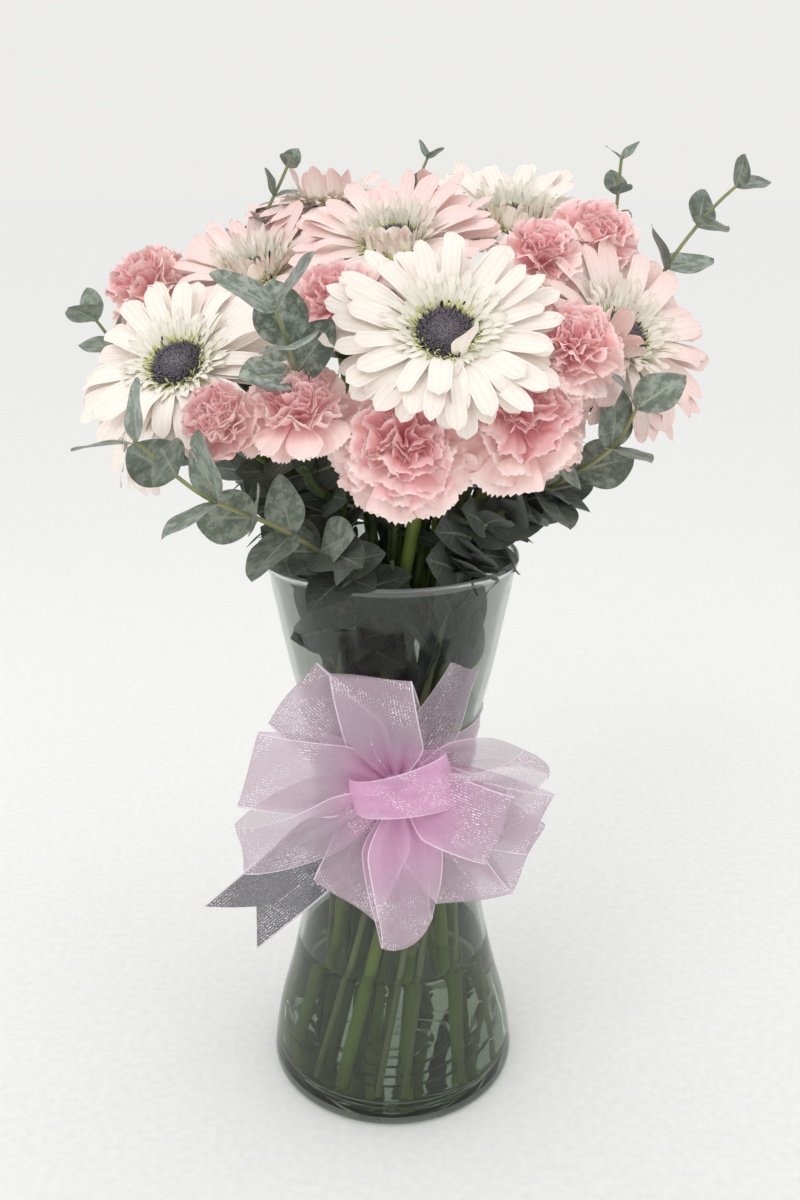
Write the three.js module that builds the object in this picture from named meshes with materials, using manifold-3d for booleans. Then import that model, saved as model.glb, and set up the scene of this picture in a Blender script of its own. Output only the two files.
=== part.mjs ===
// Mixed bouquet in a glass gathering vase: gerberas, carnations and eucalyptus in water,
// with an organza bow tied round the waist of the vase.
// Millimetres, +Z up. The origin is the middle of the vase's foot, and the front faces -Y.

import * as THREE from 'three';
import { mergeVertices } from 'three/addons/utils/BufferGeometryUtils.js';
import Module from 'manifold-3d';

const wasm = await Module();
wasm.setup();

// ---- Driving dimensions -------------------------------------------------------------------

const GAP = 0.3; // air left between pieces that touch
const CLEARANCE = 0.4; // how much a piece is swollen before a neighbour is cut clear of it

const VASE_HEIGHT = 270;
const FLOOR_HEIGHT = 9; // top of the thick glass foot
const WALL = 2.6;
const RIM_BEAD = 1.6;
const FLOOR_FILLET = 3; // how far in from the wall the flat glass floor begins
const WATER_LEVEL = 70;
const VASE_SIDES = 24;
const STEM_FOOT = 10.4; // height of the cut ends just off the glass floor
// Outer radius at a few heights, joined by a smooth curve: foot, waist and flared mouth.
const VASE_OUTLINE = [
  [59.4, 0], [61, 5], [57.5, 29], [49.8, 59], [42.5, 98], [38, 148], [40.3, 185], [47.3, 218], [57.1, 270],
];
const VASE_LEVELS = [0, 5, 25, 52, 84, 120, 162, 200, 226, 250, 270];

const BUNDLE_TWIST = 100; // degrees that the straight stems wind round each other
const FOOT_SPREAD = 49;
const EXIT_SPREAD = 41;
const EXIT_HEIGHT = 285; // where most stems begin to bend towards their bloom
const WAIST_HEIGHT = 165; // where the bundle passes closest to the glass
const STEM_AIR = 3; // least air between stems in the waist
const PLAN_REACH = 100; // a bloom this far from the axis has its stem at the edge of the bundle
const PLAN_ROUNDS = 600;
const BEND_REACH = 0.4; // length of a bend's handles as a share of its span
const BEND_STEPS = 4;
const SPRAY_STEPS = 7;
const EASE = 15; // a spray starts to bend this far below its exit

// reach is the length of a petal from the middle of the bloom at size 1, and back is how far the
// ring of petals is rooted behind the middle of the bloom's face.
const GERBERA = {
  stemRadius: 3, stemSides: 6, calyxRadius: 8.5, calyxDepth: 10, reach: 40, back: 8, eyeRadius: 9.5,
};
// back is a share of the bloom's radius here.
const CARNATION = { stemRadius: 2.1, stemSides: 5, calyxRadius: 5.6, calyxLength: 23, back: 0.42 };
const LARGE_CARNATION = 22; // above this radius a carnation has a fourth ring of petals
// A leaf opens from its stem by these degrees, least at the tip. breadth is a share of its length.
const EUCALYPTUS = { stemRadius: 1.5, stemSides: 4, openLow: 62, openHigh: 40, breadth: 0.8 };
const CARNATION_SKIRT = -1.5; // the fourth ring sits this much lower
const PETAL_UNDERSIDE = -0.9; // a ring's lowest point in its bloom's frame

// Each bloom: middle of its face, the way it faces (turn from the front towards +X, rise above
// level), how far its petals rise out of their plane and its size. lean lifts the petals on the
// side at the angle `side` and lowers those across from it.
const GERBERAS = [
  { at: [20, -84, 379], turn: 3, rise: 42, cup: 8, size: 1.08, seed: 11 },
  { at: [-82, -62, 365], turn: -20, rise: 47, cup: 7, size: 1.06, seed: 12 },
  { at: [92, -46, 373], turn: 33, rise: 40, cup: 11, lean: 10, side: 120, size: 1.12, seed: 13 },
  { at: [-58, 2, 395], turn: -24, rise: 64, cup: 17, size: 1.06, seed: 14, tint: 'pink' },
  { at: [0, -24, 408], turn: -14, rise: 58, cup: 13, size: 1.02, seed: 15, tint: 'pink' },
  { at: [52, 12, 416], turn: 4, rise: 66, cup: 16, size: 1.02, seed: 16 },
  { at: [-28, 42, 424], turn: -12, rise: 80, cup: 0, size: 0.98, seed: 17, tint: 'pink' },
  { at: [24, 64, 420], turn: 172, rise: 84, cup: 12, size: 0.95, seed: 18, tint: 'pink' },
  { at: [-110, -30, 340], turn: -56, rise: 10, cup: 2, size: 0.95, seed: 19 },
];
const CARNATIONS = [
  { at: [5, -84, 338], turn: 0, rise: 24, radius: 27, seed: 31 },
  { at: [48, -74, 348], turn: 12, rise: 30, radius: 29, seed: 32 },
  { at: [-34, -80, 350], turn: -6, rise: 62, radius: 21, seed: 33 },
  { at: [-62, -84, 345], turn: -22, rise: 34, radius: 17, seed: 34 },
  { at: [68, -68, 371], turn: 8, rise: 44, radius: 19, seed: 35 },
  { at: [-22, -50, 385], turn: -10, rise: 50, radius: 18, seed: 36 },
  { at: [82, -14, 407], turn: 24, rise: 58, radius: 19, seed: 37 },
  { at: [58, -38, 401], turn: 12, rise: 56, radius: 17, seed: 38 },
  { at: [-106, 14, 386], turn: -70, rise: 48, radius: 20, seed: 39 },
  { at: [16, 92, 372], turn: 172, rise: 26, radius: 25, seed: 40 },
];
// Each eucalyptus spray: the height at which it leaves the bundle, points along it from there
// to its tip, how many pairs of leaves it has, where the first sits along the free part, their
// length from the first to the last, and the angle of the first pair. A side twig leaves the
// spray at a share of its free part and ends at its own tip.
const SPRAYS = [
  { exit: 280, pairs: 4, first: 0.68, leaf: [24, 27], roll: 122, seed: 51,
    via: [[-33, -46, 324], [-34, -70, 352], [-36, -86, 372], [-40, -92, 386]] },
  { exit: 245, pairs: 6, first: 0.46, leaf: [26, 24], roll: 20, seed: 52,
    via: [[-17, -43, 268], [-30, -68, 291], [-46, -84, 306], [-67, -98, 320], [-89, -106, 342]] },
  { exit: 280, pairs: 4, first: 0.5, leaf: [26, 22], roll: 80, seed: 53,
    via: [[50, -26, 296], [72, -50, 316], [86, -66, 332], [92, -74, 348]] },
  { exit: 285, pairs: 4, first: 0.66, leaf: [25, 14], roll: 40, seed: 54,
    via: [[84, 10, 346], [108, 4, 380], [120, 0, 401], [132, -6, 418], [140, -8, 426]] },
  { exit: 285, pairs: 5, first: 0.68, leaf: [17, 10], roll: 10, seed: 55,
    via: [[76, 34, 362], [95, 28, 402], [97, 20, 437]],
    twigs: [{ from: 0.3, tip: [104, 62, 376], pairs: 3, leaf: [21, 15] }] },
  { exit: 285, pairs: 5, first: 0.68, leaf: [17, 10], roll: 70, seed: 56,
    via: [[-6, 56, 340], [-2, 80, 392], [17, 78, 438]],
    twigs: [{ from: 0.3, tip: [-26, 98, 378], pairs: 3, leaf: [21, 15] }] },
  { exit: 285, pairs: 5, first: 0.68, leaf: [18, 10], roll: 30, seed: 57,
    via: [[-52, 44, 346], [-64, 44, 390], [-44, 28, 434]],
    twigs: [{ from: 0.3, tip: [-86, 72, 372], pairs: 3, leaf: [22, 16] }] },
  { exit: 285, pairs: 4, first: 0.68, leaf: [20, 16], roll: 50, seed: 58,
    via: [[-80, -6, 330], [-108, -12, 354], [-121, -18, 374]] },
  { exit: 275, pairs: 5, first: 0.35, leaf: [24, 16], roll: 15, seed: 59,
    via: [[44, 52, 316], [66, 76, 348], [78, 84, 384]] },
];
// lead is how long a side twig keeps the spray's own way, as a share of its span.
const TWIG = { radius: 1, steps: 4, first: 0.45, lead: 0.4, roll: 35 };

const RIBBON = { width: 33, thick: 1, gather: 2.3, bandLow: 166, bandHigh: 194, knot: [2.4, -56, 181] };
// gather is how soon a loop reaches its full width: 2.3 is at 1/2.3 of its length.
// The roll of ribbon over the knot, and the tie behind it that reaches back to the band.
const KNOT = { across: 42, deep: 18, tilt: -8, aside: 2, forward: 11, up: 5, tieWidth: 11, tieHeight: 13 };
// Loops of the bow: direction in the plane that faces the front, length, lean towards the
// viewer, turn of the ribbon about its own run, how deep the loop stands open, and whether the
// space in it shows.
const LOOPS = [
  { toward: 101, length: 58, lean: 12, roll: -8, open: 10, hollow: true },
  { toward: 134, length: 64, lean: 4, roll: 8, open: 8 },
  { toward: 165, length: 67, lean: 16, roll: 10, open: 9 },
  { toward: 199, length: 73, lean: 12, roll: -16, open: 12, hollow: true },
  { toward: 247, length: 60, lean: 5, roll: 6, open: 8 },
  { toward: 278, length: 80, lean: 21, roll: -12, open: 12, hollow: true },
  { toward: 303, length: 64, lean: 6, roll: 8, open: 9 },
  { toward: 330, length: 67, lean: 4, roll: -6, open: 8 },
  { toward: 347, length: 50, lean: 26, roll: -6, open: 11, hollow: true },
  { toward: 350, length: 64, lean: 14, roll: 8, open: 8 },
  { toward: 14, length: 66, lean: 8, roll: 34, open: 11, hollow: true },
];
const TAILS = [
  { toward: 225, length: 108, lean: -2, roll: 0 },
  { toward: 53, length: 68, lean: 0, roll: 22 },
];

// ---- Small helpers ------------------------------------------------------------------------

const TAU = Math.PI * 2;
const rad = THREE.MathUtils.degToRad;
const lerp = THREE.MathUtils.lerp;
const vec = (x, y, z) => new THREE.Vector3(x, y, z);

// Repeatable random numbers from 0 to 1.
function seeded(seed) {
  let state = seed * 2654435761 >>> 0;
  return () => {
    state = (state + 0x6d2b79f5) >>> 0;
    let mixed = Math.imul(state ^ (state >>> 15), 1 | state);
    mixed = (mixed + Math.imul(mixed ^ (mixed >>> 7), 61 | mixed)) ^ mixed;
    return ((mixed ^ (mixed >>> 14)) >>> 0) / 4294967296;
  };
}

function toSolid(geometry) {
  geometry.deleteAttribute('normal');
  geometry.deleteAttribute('uv');
  const merged = mergeVertices(geometry, 1e-4);
  return new wasm.Manifold(new wasm.Mesh({
    numProp: 3,
    vertProperties: new Float32Array(merged.attributes.position.array),
    triVerts: new Uint32Array(merged.index.array),
  }));
}

function toGeometry(solid) {
  const mesh = solid.getMesh();
  const geometry = new THREE.BufferGeometry();
  geometry.setAttribute('position', new THREE.BufferAttribute(new Float32Array(mesh.vertProperties), 3));
  geometry.setIndex(new THREE.BufferAttribute(new Uint32Array(mesh.triVerts), 1));
  geometry.computeVertexNormals();
  return geometry;
}

function joined(solids) {
  return solids.reduce((sum, solid) => sum.add(solid));
}

// The largest body alone: loose scraps go, and sealed hollows are filled.
function largestBody(solid) {
  const bodies = solid.decompose();
  return bodies.reduce((best, body) => (body.volume() > best.volume() ? body : best));
}

function placed(solid, matrix) {
  return solid.transform(matrix.elements);
}

function faceting(triangles, points) {
  const geometry = new THREE.BufferGeometry();
  const places = points.flatMap((p) => [p.x, p.y, p.z]);
  geometry.setAttribute('position', new THREE.Float32BufferAttribute(places, 3));
  geometry.setIndex(triangles);
  return geometry;
}

function lathe(profile, sides) {
  const points = profile.map(([r, z]) => new THREE.Vector2(r, z));
  return new THREE.LatheGeometry(points, sides).rotateX(Math.PI / 2);
}

function polygon(sides, radius) {
  const angles = Array.from({ length: sides }, (_, k) => k * TAU / sides);
  return new THREE.Shape(angles.map((a) => new THREE.Vector2(radius * Math.cos(a), radius * Math.sin(a))));
}

// A path through points whose spacing is kept as given.
class Route extends THREE.Curve {
  constructor(points) {
    super();
    this.points = points;
  }
  getPoint(t, target = new THREE.Vector3()) {
    const last = this.points.length - 1;
    const place = Math.min(Math.max(t, 0), 1) * last;
    const k = Math.min(Math.floor(place), last - 1);
    return target.lerpVectors(this.points[k], this.points[k + 1], place - k);
  }
  getPointAt(u, target) {
    return this.getPoint(u, target);
  }
  getTangentAt(u, target = new THREE.Vector3()) {
    const last = this.points.length - 1;
    const k = Math.round(u * last);
    const before = this.points[Math.max(k - 1, 0)];
    const after = this.points[Math.min(k + 1, last)];
    const here = this.points[k];
    const into = here.clone().sub(before).normalize();
    const out = after.clone().sub(here).normalize();
    return target.addVectors(into, out).normalize();
  }
}

function tube(points, radius, sides) {
  return toSolid(new THREE.ExtrudeGeometry(polygon(sides, radius), {
    steps: points.length - 1,
    bevelEnabled: false,
    extrudePath: new Route(points),
  }));
}

// ---- Vase and water -----------------------------------------------------------------------

const vaseCurve = new THREE.SplineCurve(VASE_OUTLINE.map(([r, z]) => new THREE.Vector2(r, z)));
const vaseSamples = vaseCurve.getPoints(160);

function valueAtHeight(samples, height, valueOf, heightOf) {
  const after = samples.findIndex((sample) => heightOf(sample) >= height);
  if (after <= 0) return valueOf(samples[Math.max(after, 0)]);
  const low = samples[after - 1];
  const high = samples[after];
  const share = (height - heightOf(low)) / (heightOf(high) - heightOf(low));
  return lerp(valueOf(low), valueOf(high), share);
}

const outerProfile = VASE_LEVELS.map((z) => [valueAtHeight(vaseSamples, z, (p) => p.x, (p) => p.y), z]);
const outerRadius = (z) => valueAtHeight(outerProfile, z, (p) => p[0], (p) => p[1]);
const innerRadius = (z) => outerRadius(z) - WALL;

function vaseSolid() {
  const top = VASE_HEIGHT;
  const outside = outerProfile.slice(0, -1);
  const rim = [
    [outerRadius(top), top - RIM_BEAD],
    [outerRadius(top) - WALL / 2, top],
    [innerRadius(top), top - RIM_BEAD],
  ];
  const inside = outerProfile
    .filter(([, z]) => z > FLOOR_HEIGHT + 2 && z < top - RIM_BEAD)
    .map(([r, z]) => [r - WALL, z])
    .reverse();
  const floor = [
    [innerRadius(FLOOR_HEIGHT + 1) - 0.5, FLOOR_HEIGHT + 1],
    [innerRadius(FLOOR_HEIGHT) - FLOOR_FILLET, FLOOR_HEIGHT],
  ];
  return toSolid(lathe([[0, 0], ...outside, ...rim, ...inside, ...floor, [0, FLOOR_HEIGHT]], VASE_SIDES));
}

// The upper wall, thickened on both sides.
function vaseMouthRoom() {
  const levels = VASE_LEVELS.slice(-6);
  const outside = levels.map((z) => [outerRadius(z) + 1, z]);
  const inside = levels.map((z) => [innerRadius(z) - 1, z]).reverse();
  const top = VASE_HEIGHT + 1;
  const rim = [[outerRadius(VASE_HEIGHT) + 1, top], [innerRadius(VASE_HEIGHT) - 1, top]];
  return toSolid(lathe([...outside, ...rim, ...inside, outside[0]], VASE_SIDES));
}

function waterSolid(holes) {
  const bottom = FLOOR_HEIGHT + GAP;
  const rise = outerProfile
    .filter(([, z]) => z > FLOOR_HEIGHT + 2 && z < WATER_LEVEL)
    .map(([r, z]) => [r - WALL - GAP, z]);
  const edge = [
    [innerRadius(FLOOR_HEIGHT) - FLOOR_FILLET - GAP, bottom],
    [innerRadius(FLOOR_HEIGHT + 1) - 0.5 - GAP, FLOOR_HEIGHT + 1 + GAP],
  ];
  const top = [innerRadius(WATER_LEVEL) - GAP, WATER_LEVEL];
  const pool = toSolid(lathe([[0, bottom], ...edge, ...rise, top, [0, WATER_LEVEL]], VASE_SIDES));
  return holes.reduce((pond, hole) => pond.subtract(hole), pool);
}

// ---- Stems --------------------------------------------------------------------------------

function facing({ turn, rise }) {
  const level = Math.cos(rad(rise));
  return vec(Math.sin(rad(turn)) * level, -Math.cos(rad(turn)) * level, Math.sin(rad(rise)));
}

// The bloom's own frame: z the way it faces, x level to the viewer's right.
function bloomMatrix(bloom, back) {
  const z = facing(bloom);
  const x = vec(Math.cos(rad(bloom.turn)), Math.sin(rad(bloom.turn)), 0);
  const y = z.clone().cross(x);
  const origin = vec(...bloom.at).addScaledVector(z, -back);
  return new THREE.Matrix4().makeBasis(x, y, z).setPosition(origin);
}

// Where each stem stands in the bundle: led by its bloom's place, then pushed apart.
function bundlePlan(stems) {
  const waist = (FOOT_SPREAD + EXIT_SPREAD) / 2 * Math.cos(rad(BUNDLE_TWIST / 2));
  const room = innerRadius(WAIST_HEIGHT) - 1.5;
  const plan = stems.map(({ end }) => {
    const lead = new THREE.Vector2(end.x, end.y).divideScalar(PLAN_REACH);
    return lead.clampLength(0, 1).multiplyScalar(waist);
  });
  for (let round = 0; round < PLAN_ROUNDS; round += 1) {
    for (let i = 0; i < plan.length; i += 1) {
      for (let j = i + 1; j < plan.length; j += 1) {
        const apart = plan[j].clone().sub(plan[i]);
        const lack = stems[i].radius + stems[j].radius + STEM_AIR - apart.length();
        if (lack > 0) {
          apart.setLength(lack / 2 + 0.02);
          plan[i].sub(apart);
          plan[j].add(apart);
        }
      }
    }
    plan.forEach((point, i) => point.clampLength(0, Math.min(room - stems[i].radius, waist)));
  }
  return plan.map((point) => point.divideScalar(waist));
}

// The straight part of a stem leans round the axis, so that the bundle is narrow at the waist.
function bundlePoint(place, height) {
  const axis = new THREE.Vector2();
  const low = place.clone().rotateAround(axis, rad(-BUNDLE_TWIST)).multiplyScalar(FOOT_SPREAD);
  const high = place.clone().multiplyScalar(EXIT_SPREAD);
  const share = (height - STEM_FOOT) / (EXIT_HEIGHT - STEM_FOOT);
  const flat = low.lerp(high, share);
  return vec(flat.x, flat.y, height);
}

// Foot, exit from the bundle, then a bend that comes in along the bloom's own axis.
function stemRoute(place, stem) {
  const foot = bundlePoint(place, STEM_FOOT);
  const exit = bundlePoint(place, stem.exit);
  const up = exit.clone().sub(foot).normalize();
  const reach = exit.distanceTo(stem.end) * BEND_REACH;
  const bend = new THREE.CubicBezierCurve3(
    exit,
    exit.clone().addScaledVector(up, reach),
    stem.end.clone().addScaledVector(stem.along, -reach),
    stem.end,
  );
  return [foot, ...bend.getPoints(BEND_STEPS)];
}

// A spray follows its own points after it leaves the bundle.
function sprayRoute(place, stem) {
  const foot = bundlePoint(place, STEM_FOOT);
  const exit = bundlePoint(place, stem.exit - EASE);
  const via = stem.via.map((point) => vec(...point));
  const free = new THREE.CatmullRomCurve3([exit, bundlePoint(place, stem.exit), ...via]);
  return [foot, ...free.getSpacedPoints(SPRAY_STEPS)];
}

// A side twig starts along the spray and bends out to its tip.
function twigRoute(route, twig) {
  const free = new Route(route.slice(1));
  const start = free.getPoint(twig.from);
  const run = free.getPoint(twig.from + 0.05).sub(start).normalize();
  const tip = vec(...twig.tip);
  const bend = start.clone().addScaledVector(run, start.distanceTo(tip) * TWIG.lead);
  return new THREE.QuadraticBezierCurve3(start, bend, tip).getPoints(TWIG.steps);
}

// ---- Leaves and petals --------------------------------------------------------------------

// A narrow leaf with a raised rib and sharp edges, bowed down towards its tip. Its root is sunk
// in what it grows from.
const BLADE = { width: 5, bow: 5, thick: 1, widest: 0.3 };
function blade({ root, along, normal, length, swell }) {
  const { width, bow, thick, widest } = BLADE;
  const side = along.clone().cross(normal).normalize();
  const up = side.clone().cross(along).normalize();
  const at = (share, across, lift) => root.clone()
    .addScaledVector(along, share * (length + swell))
    .addScaledVector(side, across * (width / 2 + swell))
    .addScaledVector(up, lift - bow * share * share);
  const half = thick / 2 + swell;
  const points = [
    at(0, 0, 0),
    at(widest, -1, 0), at(widest, 1, 0), at(widest, 0, half), at(widest, 0, -half),
    at(0.78, -0.66, 0), at(0.78, 0.66, 0), at(0.78, 0, half), at(0.78, 0, -half),
    at(1, 0, 0),
  ];
  const triangles = [
    0, 3, 1, 0, 2, 3, 0, 1, 4, 0, 4, 2,
    1, 3, 7, 1, 7, 5, 3, 2, 6, 3, 6, 7,
    1, 8, 4, 1, 5, 8, 4, 6, 2, 4, 8, 6,
    5, 7, 9, 7, 6, 9, 5, 9, 8, 8, 9, 6,
  ];
  return toSolid(faceting(triangles, points));
}

// A flat round leaf, thickest in its middle.
const LEAF_THICK = 1.2;
function disc({ root, along, normal, length, width, swell }) {
  const side = along.clone().cross(normal).normalize();
  const up = side.clone().cross(along).normalize();
  const at = (share, across, lift) => root.clone()
    .addScaledVector(along, share * (length + swell))
    .addScaledVector(side, across * (width / 2 + swell))
    .addScaledVector(up, lift);
  const half = LEAF_THICK / 2 + swell;
  const rim = [
    at(0, 0, 0), at(0.36, 0.96, 0), at(0.78, 0.72, 0),
    at(1, 0, 0), at(0.78, -0.72, 0), at(0.36, -0.96, 0),
  ];
  const points = [...rim, at(0.45, 0, half), at(0.45, 0, -half)];
  const triangles = rim.flatMap((_, n) => [n, (n + 1) % 6, 6, (n + 1) % 6, n, 7]);
  return toSolid(faceting(triangles, points));
}

// One ring of petals as a closed plate. Its middle and each petal's rib are thick and its edges
// are sharp. A petal runs from the root radius to its tip, is widest at the share `wide`, and
// ends in a point, or in teeth that wave up and down.
function petalRing({
  count, root, reach, base = 0, rise, droop = 0, thick = 1.2, fill = 0.94, wide = 0.72,
  teeth = 0, wave = 0, spin = 0, dome = 0, riseAt = () => 0, spread = 1, random, swell = 0,
}) {
  const points = [];
  const triangles = [];
  const put = (radius, angle, height) => {
    points.push(vec(radius * Math.cos(angle), radius * Math.sin(angle), height));
    return points.length - 1;
  };
  const half = thick / 2 + swell;
  const top = put(0, 0, base + half * 1.5 + dome);
  const under = put(0, 0, base - half * 1.5);
  const step = TAU / count;
  const between = Array.from({ length: count }, (_, k) => spin + (k - 0.5) * step);
  const notches = (height) => between.map((angle) => put(root, angle, height));
  const notchTop = notches(base + half * 0.7);
  const notchUnder = notches(base - half * 0.7);
  for (let k = 0; k < count; k += 1) {
    const angle = spin + k * step;
    const slope = rad(rise + riseAt(angle) + (random() - 0.5) * 9 * spread);
    const bend = rad(droop + (random() - 0.5) * 14 * spread);
    const length = (reach - root) * (1 + (random() - 0.5) * 0.1 * spread) + swell;
    const along = (share, sideways, lift) => {
      const inner = Math.min(share, wide) * length;
      const outer = Math.max(share - wide, 0) * length;
      const out = inner * Math.cos(slope) + outer * Math.cos(slope - bend) - lift * Math.sin(slope);
      const high = inner * Math.sin(slope) + outer * Math.sin(slope - bend) + lift * Math.cos(slope);
      return put(root + out, angle + sideways * step / 2, base + high);
    };
    const edge = Math.min(fill + swell * 0.1, 0.99);
    const ribTop = along(wide * (teeth ? 0.8 : 1), 0, half);
    const ribUnder = along(wide * (teeth ? 0.8 : 1), 0, -half);
    const left = along(wide, -edge, (random() - 0.5) * wave);
    const rim = [left];
    for (let tooth = 0; tooth < Math.max(teeth, 1); tooth += 1) {
      const sideways = teeth ? -edge + 2 * edge * (tooth + 1) / (teeth + 1) : 0;
      const share = teeth ? 1 - (tooth % 2) * 0.16 : 1;
      const lift = teeth ? (tooth % 2 ? -1 : 1) * wave * (0.35 + 0.4 * random()) : 0;
      rim.push(along(share, sideways, lift));
    }
    rim.push(along(wide, edge, (random() - 0.5) * wave));
    const next = (k + 1) % count;
    triangles.push(top, notchTop[k], notchTop[next], under, notchUnder[next], notchUnder[k]);
    const border = [notchTop[k], ...rim, notchTop[next], notchTop[k]];
    const borderUnder = [notchUnder[k], ...rim, notchUnder[next], notchUnder[k]];
    for (let n = 0; n + 1 < border.length; n += 1) {
      triangles.push(ribTop, border[n], border[n + 1]);
      triangles.push(ribUnder, borderUnder[n + 1], borderUnder[n]);
    }
    triangles.push(rim[0], notchTop[k], notchUnder[k]);
    triangles.push(rim.at(-1), notchUnder[next], notchTop[next]);
  }
  return toSolid(faceting(triangles, points));
}

// ---- Gerberas -----------------------------------------------------------------------------

function gerberaPetals(bloom, swell) {
  const random = seeded(bloom.seed);
  const reach = GERBERA.reach * bloom.size;
  const { cup, lean = 0, side = 0 } = bloom;
  const riseAt = (angle) => lean * Math.cos(angle - rad(side));
  const shared = { root: GERBERA.eyeRadius, random, riseAt, swell };
  const inner = {
    count: 9, reach: reach * 0.9, base: 1.7, rise: cup + 9, droop: 10, fill: 0.62, spin: 0.16,
  };
  return joined([
    petalRing({ ...shared, count: 15, reach, rise: cup, droop: 8, fill: 0.95 }),
    petalRing({ ...shared, ...inner }),
  ]);
}

// The dark disc and the short florets that stand round it.
function gerberaEye(bloom, swell) {
  const random = seeded(bloom.seed + 100);
  const { eyeRadius } = GERBERA;
  return petalRing({
    count: 9, root: eyeRadius - 0.9, reach: eyeRadius + 5, base: 3.9, rise: 42,
    thick: 0.9, fill: 0.7, dome: 3, spread: 1.5, random, swell,
  });
}

// The space that a whole gerbera takes up, kept free of what lies behind it.
function gerberaRoom({ size, cup }) {
  const reach = (GERBERA.reach + 1) * size;
  const low = reach * Math.sin(rad(cup - 8));
  const high = reach * Math.sin(rad(cup + 10));
  return toSolid(lathe([[0, -1.6], [11, -1.6], [reach, low - 1], [reach, high + 1], [12, 7], [0, 7]], 10));
}

function gerberaCalyx(swell) {
  const { calyxRadius, calyxDepth, stemRadius } = GERBERA;
  const high = PETAL_UNDERSIDE - GAP - 0.15;
  return toSolid(lathe([
    [0, high - calyxDepth - 2],
    [stemRadius + swell, high - calyxDepth],
    [calyxRadius * 0.8 + swell, high - calyxDepth * 0.45],
    [calyxRadius + swell, high - 1],
    [calyxRadius - 1.5, high],
    [0, high],
  ], 8));
}

// ---- Carnations ---------------------------------------------------------------------------

function carnationPetals(bloom, swell) {
  const random = seeded(bloom.seed);
  const { radius } = bloom;
  const frill = { teeth: 2, wave: radius * 0.15, wide: 0.74, spread: 1.2, fill: 0.92 };
  const shared = { ...frill, root: 3.4, thick: 1.2, random, swell };
  const rings = [
    petalRing({ ...shared, count: 6, reach: radius + 2, rise: 20, droop: 30 }),
    petalRing({ ...shared, count: 5, reach: radius, base: 1.5, rise: 46, droop: 24, spin: 0.5 }),
    petalRing({ ...shared, count: 4, reach: radius * 0.9, base: 3, rise: 72, droop: 14, spin: 0.9 }),
  ];
  if (radius > LARGE_CARNATION) {
    const skirt = { count: 6, reach: radius + 1, base: CARNATION_SKIRT, rise: 2, droop: 30, spin: 0.6 };
    rings.push(petalRing({ ...shared, ...skirt }));
  }
  return joined(rings);
}

function carnationRoom({ radius }) {
  return toSolid(lathe([
    [0, -3], [radius * 0.5, -1.5], [radius, radius * 0.2],
    [radius * 0.86, radius * 0.66], [0, radius * 0.95],
  ], 9));
}

function carnationCalyx(bloom, swell) {
  const { calyxRadius, calyxLength, stemRadius } = CARNATION;
  const skirt = bloom.radius > LARGE_CARNATION ? CARNATION_SKIRT : 0;
  const high = PETAL_UNDERSIDE + skirt - GAP;
  return toSolid(lathe([
    [0, high - calyxLength - 1],
    [stemRadius + swell, high - calyxLength],
    [calyxRadius * 0.8 + swell, high - calyxLength * 0.85],
    [calyxRadius + swell, high - calyxLength * 0.35],
    [calyxRadius * 0.75 + swell, high],
    [0, high],
  ], 6));
}

// A pair of narrow leaves across from each other, just past the third point of the stem's route.
function carnationLeaves(route, seed, swell) {
  const random = seeded(seed + 200);
  const root = route[3].clone().lerp(route[4], 0.1);
  const run = route[4].clone().sub(route[3]).normalize();
  const first = random() * TAU;
  return joined([0, Math.PI].map((half) => {
    const out = sideOf(run, first + half);
    const along = run.clone().multiplyScalar(0.8).addScaledVector(out, 0.6).normalize();
    return blade({ root, along, normal: run, length: 34 + 14 * random(), swell });
  }));
}

// ---- Eucalyptus ---------------------------------------------------------------------------

// A direction square to `run`, at an angle round it.
function sideOf(run, angle) {
  const level = vec(-run.y, run.x, 0);
  if (level.length() < 0.2) level.set(1, 0, 0).addScaledVector(run, -run.x);
  level.normalize();
  const other = run.clone().cross(level);
  return level.multiplyScalar(Math.cos(angle)).addScaledVector(other, Math.sin(angle));
}

// Pairs of leaves, each square to the one below, from a share of the route to its tip.
function leafPairs({ route, pairs, first, leaf, roll, random, swell }) {
  const { openLow, openHigh, breadth } = EUCALYPTUS;
  const free = new Route(route);
  const leaves = [];
  for (let pair = 0; pair < pairs; pair += 1) {
    const share = pair / (pairs - 1);
    const place = lerp(first, 0.99, share);
    const root = free.getPoint(place);
    const run = free.getPoint(Math.min(place + 0.05, 1)).sub(free.getPoint(place - 0.05)).normalize();
    const length = lerp(leaf[0], leaf[1], share);
    const around = rad(roll) + pair * Math.PI / 2;
    for (const half of [0, Math.PI]) {
      const out = sideOf(run, around + half + (random() - 0.5) * 0.3);
      const open = rad(lerp(openLow, openHigh, share) + (random() - 0.5) * 16);
      const along = run.clone().multiplyScalar(Math.cos(open)).addScaledVector(out, Math.sin(open));
      const size = length * (0.92 + 0.16 * random());
      leaves.push(disc({ root, along, normal: run, length: size, width: size * breadth, swell }));
    }
  }
  return leaves;
}

function sprayLeaves(spray, route, swell) {
  const random = seeded(spray.seed);
  const onTwigs = (spray.twigs ?? []).flatMap((twig) => (
    leafPairs({ ...TWIG, ...twig, route: twigRoute(route, twig), random, swell })
  ));
  return joined([...leafPairs({ ...spray, route: route.slice(1), random, swell }), ...onTwigs]);
}

function sprayStem(spray, route, swell) {
  const { stemRadius, stemSides } = EUCALYPTUS;
  const twigs = (spray.twigs ?? []).map((twig) => (
    tube(twigRoute(route, twig), TWIG.radius + swell, stemSides)
  ));
  return joined([tube(route, stemRadius + swell, stemSides), ...twigs]);
}

// ---- Ribbon -------------------------------------------------------------------------------

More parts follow.
